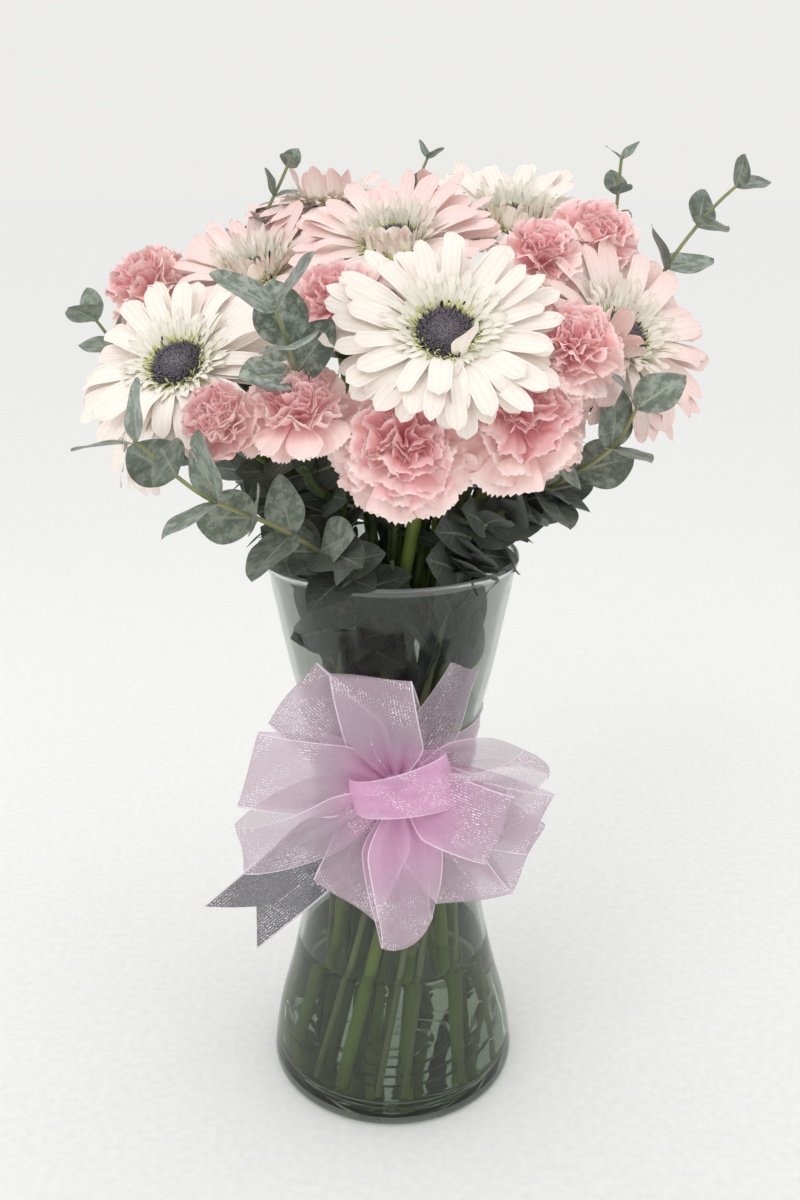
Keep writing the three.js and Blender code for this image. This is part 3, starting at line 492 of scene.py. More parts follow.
class Nodes:
    """The nodes of a material or of the world, with one short call for each."""

    def __init__(self, thing, shader="Principled BSDF", output="Material Output"):
        thing.use_nodes = True
        self.thing, self.tree = thing, thing.node_tree
        self.shader, self.output = self.tree.nodes[shader], self.tree.nodes[output]

    def value(self, socket, source):
        """Sets a socket from a number, a colour or a field."""
        if isinstance(source, Field):
            self.tree.links.new(source.socket, socket)
        else:
            socket.default_value = (*source, 1) if socket.type == "RGBA" else source

    def field(self, kind, output, inputs=None, **settings):
        """One output of a new node."""
        node = self.tree.nodes.new(kind)
        for key, setting in settings.items():
            setattr(node, key, setting)
        for key, source in (inputs or {}).items():
            self.value(node.inputs[key], source)
        return Field(self, node.outputs[output])

    def places(self):
        return [self.field("ShaderNodeAttribute", "Fac", attribute_name=label) for label in PLACES]

    def math(self, operation, a, b, clamp=False):
        return self.field("ShaderNodeMath", 0, {0: a, 1: b}, operation=operation, use_clamp=clamp)

    def mix(self, factor, a, b):
        return self.field("ShaderNodeMix", 2, {0: factor, 6: a, 7: b}, data_type="RGBA")

    def noise(self, scale, detail=3.0, rough=0.5, stretch=None):
        place = self.field("ShaderNodeTexCoord", "Object")
        if stretch:
            place = self.field("ShaderNodeMapping", 0, dict(Vector=place, Scale=stretch))
        inputs = dict(Vector=place, Scale=scale, Detail=detail, Roughness=rough)
        return self.field("ShaderNodeTexNoise", "Fac", inputs)

    def bump(self, height, distance, strength):
        inputs = dict(Height=height, Distance=distance, Strength=strength)
        self.set(Normal=self.field("ShaderNodeBump", 0, inputs))

    def show(self, ray, other):
        """Shows another shader to one kind of ray."""
        own = Field(self, self.shader.outputs[0])
        inputs = {0: self.field("ShaderNodeLightPath", ray), 1: own, 2: other}
        self.value(self.output.inputs["Surface"], self.field("ShaderNodeMixShader", 0, inputs))

    def set(self, **values):
        for key, value in values.items():
            self.value(self.shader.inputs[key.replace("_", " ")], value)
        return self.thing


def material(name):
    return Nodes(bpy.data.materials.new(name))


def srgb(*colour):
    return tuple(((c / 255 + 0.055) / 1.055) ** 2.4 if c > 10 else c / 255 / 12.92 for c in colour)


# Painted glow: emission that stands in for the light thin petals pass on to each other, which single sheets
# would swallow.
PAINTED_PETAL_GLOW = 0.02
PAINTED_CARNATION_GLOW = 0.07
# Painted glow on the polished rim, a painted highlight that stands in for light the wall pipes up to it.
PAINTED_RIM_GLOW = 0.07


def petal_material(name, base, tip, streak_and_shade):
    """Petals: pale near the eye, blushing outwards, with faint lines that run along them: partly the petals'
    own veins, partly painted shade in their grooves.
    """
    n = material(name)
    along, across, tone, layer = n.places()
    colour = n.mix(along.span(0.1, 1.0) + (tone - 0.5) * 0.35, base, tip)
    colour = colour.mixed(streak_and_shade, n.noise(70).span(0.4, 0.7) * 0.22)
    lines = (across * 9.4).math("COSINE").span(0.3, 1.0)
    # The lines darken the grooves with the streak colour: painted shade, and the petals' own veins.
    colour = colour.mixed(streak_and_shade, lines * 0.24)
    colour = colour.mixed(srgb(247, 244, 229), layer.span(0.3, 0.75) * along.span(0.0, 0.9, 1.0, 0.8))
    colour = colour.mixed(srgb(222, 222, 156), layer.span(0.5, 1.0) * along.span(0.0, 0.42, 0.8, 0.0))
    n.bump(lines * 0.6 + n.noise(900, 2) * 0.3, 0.0004, 0.6)
    # The emission is a painted glow, standing in for light passed on between thin petals.
    return n.set(
        Base_Color=colour, Roughness=0.55, Specular_IOR_Level=0.25, Sheen_Weight=0.1,
        Emission_Color=colour, Emission_Strength=PAINTED_PETAL_GLOW,
    )


def eye_material():
    """Violet-grey velvet in the middle (layer 0), dark anthers and a yellow-green fringe (layer 1)."""
    n = material("gerbera_eye")
    along, _, tone, layer = n.places()
    dark = n.mix(n.noise(900, 2).span(0.4, 0.65), srgb(56, 50, 58), srgb(112, 105, 114))
    dark = dark.mixed(srgb(150, 143, 151), along.span(0.3, 1.0, 0.0, 0.85))
    green = n.mix(tone.span(0.2, 0.8), srgb(216, 218, 134), srgb(244, 243, 206))
    green = n.mix(along.span(0.1, 0.6), srgb(160, 164, 88), green)
    green = green.mixed(srgb(50, 42, 46), tone.span(0.84, 0.86))
    n.bump(n.noise(1500, 2), 0.0003, 0.6)
    return n.set(
        Base_Color=dark.mixed(green, layer), Roughness=0.8, Specular_IOR_Level=0.15, Sheen_Weight=0.4,
    )


def carnation_material():
    """Rose: pale in the outer petals (layer 0), deep in the heart (layer 1), paler at each edge."""
    n = material("carnation_rose")
    deep, mid, pale = srgb(234, 148, 161), srgb(241, 188, 190), srgb(248, 224, 218)
    along, across, tone, layer = n.places()
    heart = layer + (tone - 0.5) * 0.5
    inner = n.mix(heart.span(0.0, 1.0), mid, deep)
    colour = inner.mixed(n.mix(heart.span(0.0, 0.8), pale, mid), along.span(0.3, 0.85))
    veins = (across * 32.0).math("SINE").span(0.0, 1.0)
    colour = colour.mixed(deep, veins * 0.08)
    colour = colour.mixed(pale, n.noise(120, 4).span(0.45, 0.7) * 0.25)
    colour = colour.mixed(srgb(250, 233, 228), along.span(0.9, 1.0, 0.0, 0.7))
    n.bump(n.noise(420) + veins * 0.3, 0.0003, 0.5)
    # The emission is a painted glow that lightens the petals and the hollows between them.
    return n.set(
        Base_Color=colour, Roughness=0.6, Specular_IOR_Level=0.2, Sheen_Weight=0.15,
        Emission_Color=colour, Emission_Strength=PAINTED_CARNATION_GLOW,
    )


def green_material(name, light, dark, tip):
    """Stems and calyxes: tone picks how yellow a stem is, with fine ribs along it."""
    n = material(name)
    along, _, tone, layer = n.places()
    colour = n.mix(n.noise(90, 4).span(0.35, 0.7), dark, light)
    colour = colour.mixed(tip, tone * 0.6)
    colour = colour.mixed(tip, along.span(0.34, 0.16) * tone)
    colour = colour.mixed(srgb(140, 156, 118), layer * 0.4)
    n.bump(n.noise(500, 2, stretch=(1, 1, 0.06)), 0.0005, 0.6)
    return n.set(Base_Color=colour, Roughness=0.5, Specular_IOR_Level=0.35)


def leaf_material(name, face, pale, vein, dark):
    """Waxy grey-green leaf with a pale midrib, side veins and a mottled bloom."""
    n = material(name)
    along, across, tone, layer = n.places()
    wax = n.noise(230, 6, rough=0.7).span(0.42, 0.62)
    colour = n.mix(wax * (layer * 0.7 + 0.3), face, pale)
    # A low tone mixes in the dark colour: random on most leaves, painted shade on the low leaves under the
    # blooms.
    colour = colour.mixed(dark, (1.0 - tone) * 0.8)
    off = across.math("ABSOLUTE")
    rib = off.span(0.02, 0.08, 1.0, 0.0) * along.span(0.2, 0.95, 0.75, 0.2)
    side = ((along - off * 0.28) * 46.0).math("SINE").span(0.86, 1.0) * off.span(1.0, 0.3)
    colour = colour.mixed(vein, rib).mixed(vein, side * 0.18)
    colour = colour.mixed(srgb(150, 140, 124), off.span(0.94, 1.0, 0.0, 0.35))
    n.bump(side * -0.4 + n.noise(260, 4), 0.0004, 0.6)
    return n.set(Base_Color=colour, Roughness=0.5, Specular_IOR_Level=0.35, Sheen_Weight=0.2)


def clear_material(name, colours, patch, ripple, height, strength, lamp_tint, **look):
    """Uneven glass or water that lets light from the lamps through to what stands in it."""
    n = material(name)
    colour = n.mix(n.noise(patch, 2).span(0.3, 0.7), *colours)
    n.bump(n.noise(*ripple), height, strength)
    n.show("Is Shadow Ray", n.field("ShaderNodeBsdfTransparent", 0, dict(Color=lamp_tint)))
    return n.set(Base_Color=colour, Transmission_Weight=1.0, **look)


def glass_material(name, light, dark, roughness, painted_glow=0.0):
    # The glow is emission, a painted highlight; only the rim uses it.
    return clear_material(
        name, (light, dark), 18, (26, 1), 0.0006, 0.12, srgb(226, 231, 226),
        Roughness=roughness, IOR=1.47, Emission_Color=light, Emission_Strength=painted_glow,
    )


def water_material():
    colours = srgb(214, 223, 206), srgb(206, 216, 198)
    return clear_material(
        "water", colours, 22, (40, 2), 0.0008, 0.25, srgb(244, 248, 242), Roughness=0.0, IOR=1.33,
    )


def organza_material():
    """Sheer ribbon. tone runs from dark grey painted shade (-1) through grey lilac (0) to pink (1); the weave
    is fine, the selvedges are pale, and near-white glitter specks, real glitter with painted sparkle, gather
    in patches, with painted glints in slanting bands near the folds and in dashes along a crease."""
    n = material("organza")
    along, across, tone, layer = n.places()
    selvedge = across.math("ABSOLUTE").span(0.94, 0.98)
    # fold, slant and crease mark painted glints: slanting bands near the folds and dashes along a crease.
    fold = (along - 0.5).math("ABSOLUTE").span(0.2, 0.03)
    slant = (along * 44.0 + across * 3.4).math("SINE").span(-0.6, 0.6)
    crease = (across - 0.3).math("ABSOLUTE").span(0.05, 0.01)
    patches_and_glints = n.noise(34, 2).span(0.48, 0.62).math("MAXIMUM", fold * slant)
    patches_and_glints = patches_and_glints.math("MAXIMUM", crease * n.noise(60).span(0.4, 0.6))
    rows = (across * 88.0).math("SINE").span(-0.7, 0.5)
    glitter_and_glints = n.noise(1800, 1).span(0.51, 0.61) * rows * (patches_and_glints * 0.78 + 0.22)
    silver = tone.span(0.0, -1.0)
    colour = n.mix(tone.span(0.0, 1.0), srgb(204, 178, 194), srgb(236, 176, 216))
    # The dark grey on the tails is painted shade; they are also made more opaque there.
    colour = colour.mixed(srgb(92, 90, 96), silver)
    colour = colour.mixed(srgb(240, 226, 238), selvedge * 0.8)
    # Near-white specks: the ribbon's glitter with its sparkle painted in, and painted glints at the folds and
    # crease.
    colour = colour.mixed((0.98, 0.96, 0.98), glitter_and_glints)
    sheer = n.noise(2600, 1) * 0.12 + (layer * 0.3 + 0.42) + silver * 0.44
    alpha = sheer.math("MAXIMUM", selvedge * 0.92, clamp=True)
    alpha = alpha.math("MAXIMUM", glitter_and_glints * 0.95, clamp=True)
    n.bump(n.noise(2200, 1), 0.0002, 0.5)
    return n.set(
        Base_Color=colour, Alpha=alpha, Roughness=0.5 - glitter_and_glints * 0.3, Sheen_Weight=0.4,
        Specular_IOR_Level=0.5,
    )


def paper_material():
    n = material("backdrop")
    colour = n.mix(n.noise(240, 4).span(0.3, 0.7), srgb(233, 233, 231), srgb(238, 238, 236))
    n.bump(n.noise(420, 5), 0.0006, 0.25)
    return n.set(Base_Color=colour, Roughness=0.9, Specular_IOR_Level=0.1)


# ---- Vase and water ----

AXIS = 0.01
VASE_SIDES, WATER_SIDES = 144, 120
WATER_SINK = 0.25


def vase_mesh():
    mesh = Mesh()
    outside = [(AXIS, 1.2), (30, 1.2), (33, 0.9), (47, 0.9), (50, 0.0), (57.0, 0.0), (59.2, 0.5), (60.6, 2.0)]
    heights = np.concatenate([np.linspace(4.5, 30, 14), np.linspace(34, 262, 58)])
    outside += [(outer_radius(z), z) for z in heights]
    top, lip = VASE_HEIGHT, outer_radius(VASE_HEIGHT)
    rim = [(lip, top - 3.2), (lip + 0.25, top - 2.0), (lip - 0.1, top - 0.7), (lip - WALL / 2, top)]
    rim += [(lip - WALL + 0.1, top - 0.7), (lip - WALL - 0.2, top - 2.2)]
    inside = [(inner_radius(z), z) for z in heights[::-1] if z > FLOOR_HEIGHT + 5]
    low = inner_radius(FLOOR_HEIGHT)
    floor = [(low - 1.0, 12.6), (low - 2.6, 10.6), (low - 5.5, 9.4), (low - 9, FLOOR_HEIGHT)]
    for ring in FLOOR_RINGS:
        floor += [(ring + 1.4, FLOOR_HEIGHT), (ring, FLOOR_HEIGHT + 0.5), (ring - 1.4, FLOOR_HEIGHT)]
    lathe(mesh, [*outside, rim[0]], VASE_SIDES)
    lathe(mesh, rim, VASE_SIDES, slot=1)
    lathe(mesh, [rim[-1], *inside, *floor, (AXIS, FLOOR_HEIGHT)], VASE_SIDES)
    return mesh


def water_mesh():
    """The water, which sinks a little into the glass so that no air shows between them."""
    mesh, level = Mesh(), WATER_LEVEL
    low, edge = inner_radius(FLOOR_HEIGHT), inner_radius(WATER_LEVEL)
    wall = [(AXIS, 9.1), (low - 9, 9.1), (low - 5.5, 9.5), (low - 2.6, 10.7), (low - 1.0 + WATER_SINK, 12.6)]
    wall += [(inner_radius(z) + WATER_SINK, z) for z in np.linspace(15, level, 20)]
    surface = [(edge - 0.4, level - 0.1), (edge - 1.6, level - 0.75), (edge - 4, level - 1.0)]
    surface += [(edge * 0.7, level - 1.0), (edge * 0.4, level - 1.0), (AXIS, level - 1.0)]
    lathe(mesh, wall + surface, WATER_SIDES)
    return mesh


# ---- Petals and leaves ----


def petal(mesh, angle, root, base, length, width, rise, droop, rows=6, cols=5, twist=0.0, sway=0.0,
          curl=0.0, channel=0.1, ridge=0.05, tip_at=0.78, neck=0.45, wave=0.0, tone=0.0, layer=0.0):
    """One ray floret in the bloom's frame, from the root radius outwards. tip_at is where its
    rounded end begins, channel dishes it lengthways and wave ripples its edges."""
    s = np.linspace(0, 1, 33)
    slope = np.radians(rise - droop * s**1.4 - curl * smooth(s, 0.5, 1.0))
    step = length / 32
    radial = summed((np.cos(slope[1:]) + np.cos(slope[:-1])) / 2 * step)
    height = summed((np.sin(slope[1:]) + np.sin(slope[:-1])) / 2 * step)
    u, v = places_on(rows, cols)
    u = 1 - (1 - u) ** 2
    place = u * (1 - 0.02 * v**2 * u**8)
    out, lift, tilt = (np.interp(place, s, w) for w in (radial, height, slope))
    end = np.sqrt(1 - (0.98 * np.clip((u - tip_at) / (1 - tip_at), 0, 1)) ** 2)
    half = width / 2 * (neck + (1 - neck) * smooth(u, -0.1, 0.6)) * end
    dish = width * (channel * (1.1 - u)) * v**2
    lines = ridge * np.cos(3 * pi * v) * smooth(u, 0, 0.3) * (1 - smooth(u, 0.8, 1.0))
    ripple = wave * np.sin(7 * u + 20 * tone) * v * np.abs(v) * smooth(u, 0.1, 0.6)
    relief, spin = dish + lines + ripple, twist * u
    lateral = half * v * np.cos(spin) - relief * np.sin(spin) + length * sway * u**2
    normal = half * v * np.sin(spin) + relief * np.cos(spin)
    points = polar(angle, root + out - np.sin(tilt) * normal, lateral, base + lift + np.cos(tilt) * normal)
    mesh.grid(points, along=u, tone=tone, layer=layer)


def leaf(mesh, root, along, normal, length, width, tone=0.5, bow=0.06, fold=0.1, rows=11, cols=9,
         widest=0.42, point=0.9, layer=0.5):
    """A leaf blade from its root, face towards the normal."""
    side = unit(np.cross(along, normal))
    up = unit(np.cross(side, along))
    u, v = places_on(rows, cols)
    outline = np.sin(pi * np.clip(u, 0.004, 0.998) ** (log(0.5) / log(widest))) ** (1 - 0.35 * point)
    half = width / 2 * outline
    lift = -bow * length * u**2 + fold * half * np.abs(v) + 0.02 * length * np.sin(u * 9 + tone * 9) * v
    points = root + along * (u * length)[..., None] + side * (half * v)[..., None] + up * lift[..., None]
    mesh.grid(points, tone=tone, layer=layer, slot=1)


# ---- Gerberas ----

# Rings from the outside in: petals, length as a share of the reach, width, extra rise, droop,
# how far up the bloom the ring is rooted, and how near the eye it counts for its colour.
GERBERA_RINGS = [
    (23, 1.06, 8.1, -5, 9, -0.6, 0.0),
    (22, 1.02, 7.8, 1, 11, 0.5, 0.1),
    (16, 0.9, 7.2, 8, 12, 1.4, 0.2),
    (30, 0.56, 3.2, 13, 8, 2.2, 0.55),
    (42, 0.5, 2.6, 22, 10, 2.6, 0.75),
    (50, 0.41, 2.0, 34, 8, 3.0, 1.0),
]
RAY = dict(rows=17, cols=13)
FLORET = dict(rows=9, cols=5, ridge=0.02, neck=0.6)
TUFTS, FRINGE = 420, 240
GOLDEN_ANGLE = 2.39996
TALL_CROWN = 40


def gerbera_petals(bloom):
    mesh, rng = begun(bloom)
    reach, crown = GERBERA_REACH * bloom["size"], bloom.get("crown", 0)
    lift, bend, low = bloom["hang"]
    for count, share, width, steeper, curve, base, layer in GERBERA_RINGS:
        inner = layer > 0.5
        for k in range(count):
            angle = (k + rng.uniform(-0.3, 0.3)) * TAU / count + base
            under = max(0.0, cos(angle - radians(low))) ** 2
            rise = bloom["cup"] + steeper + rng.normal(0, 8 if inner else 4)
            front = max(0.0, -sin(angle)) ** 0.7
            rise += crown * (0.25 + 0.75 * front) if inner else lift * under
            rise += bloom.get("lean", 0) * cos(angle - radians(bloom.get("side", 0)))
            length = (reach * share * (1 + 0.06 * sin(angle)) - EYE_RADIUS + 1.5) * rng.uniform(0.88, 1.05)
            droop = curve + rng.normal(0, 7) + bend * under
            curl = rng.normal(3, 8) + (rng.uniform(18, 42) if rng.uniform() < 0.16 else 0)
            petal(
                mesh, angle, EYE_RADIUS - (0.4 if inner else 1.5), base, length,
                width * bloom["size"] * rng.uniform(0.8, 1.15), rise, droop, curl=curl,
                twist=rng.normal(0, 0.3 if inner else 0.16), sway=rng.normal(0, 0.08 if inner else 0.045),
                channel=0.1 * rng.uniform(0.2, 1.9), wave=rng.uniform(0.1, 0.7), tone=rng.uniform(),
                tip_at=rng.uniform(0.35, 0.65) if inner else rng.uniform(0.76, 0.88), layer=layer,
                **(FLORET if inner else dict(RAY, ridge=0.1, neck=0.5)),
            )
    for angle, length, width, rise in bloom.get("over", []):
        petal(
            mesh, radians(angle), EYE_RADIUS + 1.2, 2.6, length, width, rise, -22, curl=24, **RAY, ridge=0.1,
            channel=0.3, tip_at=0.6, wave=0.6, neck=0.55, twist=rng.normal(0, 0.4), sway=rng.normal(0, 0.1),
            tone=rng.uniform(), layer=0.62 if crown > TALL_CROWN else 0.3,
        )
    return mesh


def gerbera_eye(bloom):
    """The dark disc of tufted florets and the yellow-green fringe round it."""
    mesh, rng = begun(bloom, 100)
    radius = EYE_RADIUS - 0.6

    def dome(share):
        return 2.6 + 3.4 * (1 - share**2.4) - 0.8 * (1 - share) ** 2

    lathe(mesh, [(radius - 1, 0.6), *[(radius * s, dome(s)) for s in np.linspace(1, 0.001, 10)]], 28)
    for k in range(TUFTS):
        share, angle = sqrt((k + 0.5) / TUFTS), k * GOLDEN_ANGLE
        tall = rng.uniform(0.7, 1.3) + (rng.uniform(0.4, 1.3) if share > 0.6 else 0)
        foot = compass(angle) * radius * share + UP * (dome(share) - 0.4)
        lean = unit(compass(angle) * share * 0.5 + UP + rng.normal(0, 0.22, 3))
        route = np.array([foot, foot + lean * tall * 0.6, foot + lean * (tall + 0.4)])
        tube(mesh, route, [0.38, 0.34, 0.12], 4, tone=rng.uniform(), cap=False)
    for k in range(FRINGE):
        petal(
            mesh, k * TAU / FRINGE + rng.uniform(-0.03, 0.03), radius - rng.uniform(-2.2, 1.6), 2.9,
            rng.uniform(2.4, 4.8), rng.uniform(0.5, 1.0), rng.uniform(35, 100), rng.uniform(0, 120),
            rows=5, cols=3, ridge=0, channel=0, tone=rng.uniform(), layer=1.0, sway=rng.normal(0, 0.25),
        )
    return mesh


def into_bloom(bloom):
    """The stem's route, carried on into the calyx."""
    return np.concatenate([bloom["route"], [bloom["route"][-1] + bloom["along"] * 4]])


def gerbera_stem(bloom):
    mesh, rng = begun(bloom, 200)
    route = into_bloom(bloom)
    radius = GERBERA_STEM * (1 + 0.05 * np.sin(np.linspace(0, 30, len(route)) + bloom["seed"]))
    tube(mesh, route, radius, 12, tone=rng.uniform(0.3, 1.0))
    calyx, high = Mesh(), -1.3
    cup = [(GERBERA_STEM, high - 10.5), (4.4, high - 9), (6.6, high - 5), (8.1, high - 1.2), (7.4, high)]
    lathe(calyx, [*cup, (AXIS, high)], 20)
    for row, (low, r, tall) in enumerate([(-9.5, 3.6, 6.5), (-6.8, 5.4, 6.5), (-4.2, 7.2, 6)]):
        for k in range(16):
            petal(calyx, (k + row / 2) * TAU / 16, r, high + low, tall, 2.9, 58 + row * 9, -14,
                  tip_at=0.1, neck=0.9, tone=rng.uniform(), layer=0.5)
    mesh.add(calyx.moved(bloom_matrix(bloom)))
    return mesh


# ---- Carnations ----

# Rings from the outside in: petals, angle from the axis, length and width as shares of the
# radius, how far up the ring is rooted, and how deep its colour is.
CARNATION_RINGS = [
    (6, 110, 1.14, 1.35, -1.2, 0.0),
    (7, 88, 1.1, 1.25, -0.2, 0.15),
    (8, 69, 1.07, 1.1, 0.6, 0.35),
    (8, 51, 1.03, 1.0, 1.4, 0.6),
    (8, 35, 1.0, 0.9, 1.8, 0.8),
    (7, 20, 0.95, 0.8, 2.0, 1.0),
    (5, 7, 0.88, 0.75, 2.0, 1.0),
]
HALF_OPEN, BUD = 0.8, 0.6
FRILL_ROWS, FRILL_COLS = 15, 35
STEM_JOINTS = (4, 9, 16, 23)
MOUTH_BLADES = 6
BLADE = dict(fold=0.35, rows=14, widest=0.3, point=0.3)


def frilled_petal(mesh, rng, angle, base, length, width, opens, reflex, layer, calm):
    """A fan-shaped petal with a narrow claw, a ruffled blade and a toothed edge."""
    s = np.linspace(0, 1, 41)
    from_axis = np.radians(opens * smooth(s, 0.0, 0.42) + reflex * smooth(s, 0.45, 1.0))
    step = length / 40
    radial, height = summed(np.sin(from_axis[:-1]) * step), summed(np.cos(from_axis[:-1]) * step)
    u, v = places_on(FRILL_ROWS, FRILL_COLS)
    u = u**0.85
    teeth = np.where(np.arange(FRILL_COLS) % 2, 1.0, -1.0) * rng.uniform(0.0, 1.7, (1, FRILL_COLS))
    scallop = np.sin(rng.uniform(4, 7) * v + rng.uniform(0, TAU))
    place = u * (1 - 0.2 * v**2 * u**3) + (0.014 * teeth + 0.035 * scallop) * smooth(u, 0.78, 1.0)
    place = np.clip(place * 0.95, 0, 1)
    out, lift, tilt = (np.interp(place, s, w) for w in (radial, height, from_axis))
    half = width / 2 * (0.13 + 0.87 * smooth(u, 0.1, 0.9))
    waves, phase = rng.uniform(1.2, 2.4), rng.uniform(0, TAU)
    ruffle = 0.11 * np.sin(waves * pi * v + phase) * smooth(u, 0.2, 0.9)
    frill = 0.036 * np.sin(waves * 2.6 * pi * v + phase * 2 + 3 * u) * smooth(u, 0.5, 1.0)
    crumple = 0.006 * rng.normal(0, 1, place.shape) * smooth(u, 0.6, 1.0)
    cupped = 0.14 * v**2 * smooth(u, 0.2, 0.8)
    normal = width * ((ruffle + frill) * calm + crumple - cupped)
    gather = 0.05 * width * np.cos(waves * pi * v + phase) * u**2 * calm
    lateral = half * v * rng.uniform(0.88, 1.0) + gather
    points = polar(angle, 1.3 + out + np.cos(tilt) * normal, lateral, base + lift - np.sin(tilt) * normal)
    mesh.grid(points, along=u, tone=rng.uniform(), layer=layer)


def carnation_petals(bloom):
    mesh, rng = begun(bloom)
    radius, opened = bloom["radius"], bloom["open"]
    for count, opens, share, width, base, layer in CARNATION_RINGS[opened < HALF_OPEN :]:
        for k in range(count):
            angle = (k + rng.uniform(-0.35, 0.35)) * TAU / count + layer * 5
            reflex = rng.normal(12, 14) if opened >= HALF_OPEN else rng.normal(-22, 8)
            frilled_petal(
                mesh, rng, angle, base - 3, (radius + 3) * share * rng.uniform(0.9, 1.06), radius * width,
                opens * opened + rng.normal(0, 10), reflex, layer, 0.7 + 0.3 * layer,
            )
    for angle, share in bloom["fans"]:
        opens, reflex = (96, rng.uniform(18, 34)) if opened >= BUD else (84, rng.uniform(-52, -34))
        length, width = radius * share + 3, radius * 1.35
        frilled_petal(mesh, rng, radians(angle), -3, length, width, opens, reflex, 0.0, 0.4)
    return mesh


def mouth_leaf(mesh, rng, place, width, tone, **look):
    """A leaf that rises from a stem inside the vase and leans out to its wall."""
    low, tall, face = rng.uniform(196, 240), rng.uniform(26, 46), rng.uniform(-1.5, 1.5)
    root = bundle_point(place, low)
    around = atan2(root[1], root[0]) + rng.uniform(-0.9, 0.9)
    room = inner_radius(min(low + tall * 0.7, VASE_HEIGHT)) - 1
    reach = (room - width / 2 * abs(sin(face))) * rng.uniform(0.86, 1.0)
    top = compass(around) * reach + UP * (low + tall)
    leaf(mesh, root, unit(top - root), turned(compass(around), UP, face), np.linalg.norm(top - root),
         width, tone=tone, bow=rng.uniform(0.02, 0.08), fold=0.2, rows=14, **look)


def carnation_stem(bloom):
    mesh, rng = begun(bloom, 200)
    route = into_bloom(bloom)
    radius = np.full(len(route), CARNATION_STEM)
    radius[list(STEM_JOINTS)] *= 1.35
    tube(mesh, route, radius, tone=rng.uniform(0.0, 0.35))
    high = -2.7 if bloom["radius"] > LARGE_CARNATION else -1.2
    calyx = Mesh()
    body = [(CARNATION_STEM, high - 23), (4.0, high - 20.6), (5.0, high - 15), (5.4, high - 8)]
    lathe(calyx, [*body, (4.8, high - 2.4), (3.6, high - 0.4), (AXIS, high)], 20)
    for k in range(5):
        petal(calyx, k * TAU / 5 + 0.3, 4.9, high - 7.5, 8.5, 5.4, 92, 16, rows=7, tip_at=0.15, neck=0.95,
              channel=-0.1, tone=0.4, layer=0.3)
    for k in range(4):
        petal(calyx, k * TAU / 4, 2.6, high - 22.5, 7.5, 4.6, 66, -12, tip_at=0.15, neck=0.8, tone=0.2,
              layer=0.2)
    mesh.add(calyx.moved(bloom_matrix(bloom)))
    draw = seeded(bloom["seed"] + 200)
    bend = bloom["route"][-17::4]
    root, run, first = bend[2] + (bend[3] - bend[2]) * 0.1, unit(bend[3] - bend[2]), draw() * TAU
    for half in (0, pi):
        out = side_of(run, first + half)
        leaf(mesh, root, unit(run * 0.8 + out * 0.6), run, 34 + 14 * draw(), 5.5, bow=0.14, **BLADE)
    for joint in bend[:2]:
        for half in (0.8, 0.8 + pi):
            out = side_of(run, first + half)
            leaf(mesh, joint, unit(run * 0.55 + out * 0.9), run, rng.uniform(32, 46), rng.uniform(5, 7.5),
                 tone=rng.uniform(0, 0.5), bow=rng.uniform(0.1, 0.35), **BLADE)
    for _ in range(MOUTH_BLADES):
        mouth_leaf(mesh, rng, bloom["place"], rng.uniform(6, 10), rng.uniform(0.2, 1.0),
                   widest=0.35, point=0.3)
    return mesh


# ---- Eucalyptus ----

MOUTH_HEIGHTS = (222, 240, 258, 272)
MOUTH_LEAVES = 4
LOW_LEAVES = (0.02, 0.08, 0.15, 0.22, 0.3, 0.38, 0.46)


def point_on(route, share):
    place = min(max(share, 0), 1) * (len(route) - 1)
    k = min(int(place), len(route) - 2)
    return route[k] + (route[k + 1] - route[k]) * (place - k)


def leaf_pairs(mesh, draw, route, item, pale):
    """Pairs of leaves at right angles to each other, closing towards the tip."""
    for pair in range(item["pairs"]):
        share = pair / (item["pairs"] - 1)
        place = item["first"] + (0.99 - item["first"]) * share
        root = point_on(route, place)
        run = unit(point_on(route, place + 0.05) - point_on(route, place - 0.05))
        length = item["leaf"][0] + (item["leaf"][1] - item["leaf"][0]) * share
        around = radians(item["roll"]) + pair * pi / 2
        for half in (0, pi):
            out = side_of(run, around + half + (draw() - 0.5) * 0.3)
            spread = radians(62 - 22 * share + (draw() - 0.5) * 16)
            size = length * (0.92 + 0.16 * draw())
            leaf(mesh, root, unit(run * cos(spread) + out * sin(spread)), run, size, size * 0.84,
                 tone=0.45 + 0.55 * draw(), rows=13, cols=11, bow=0.04 + 0.12 * draw(), layer=pale)


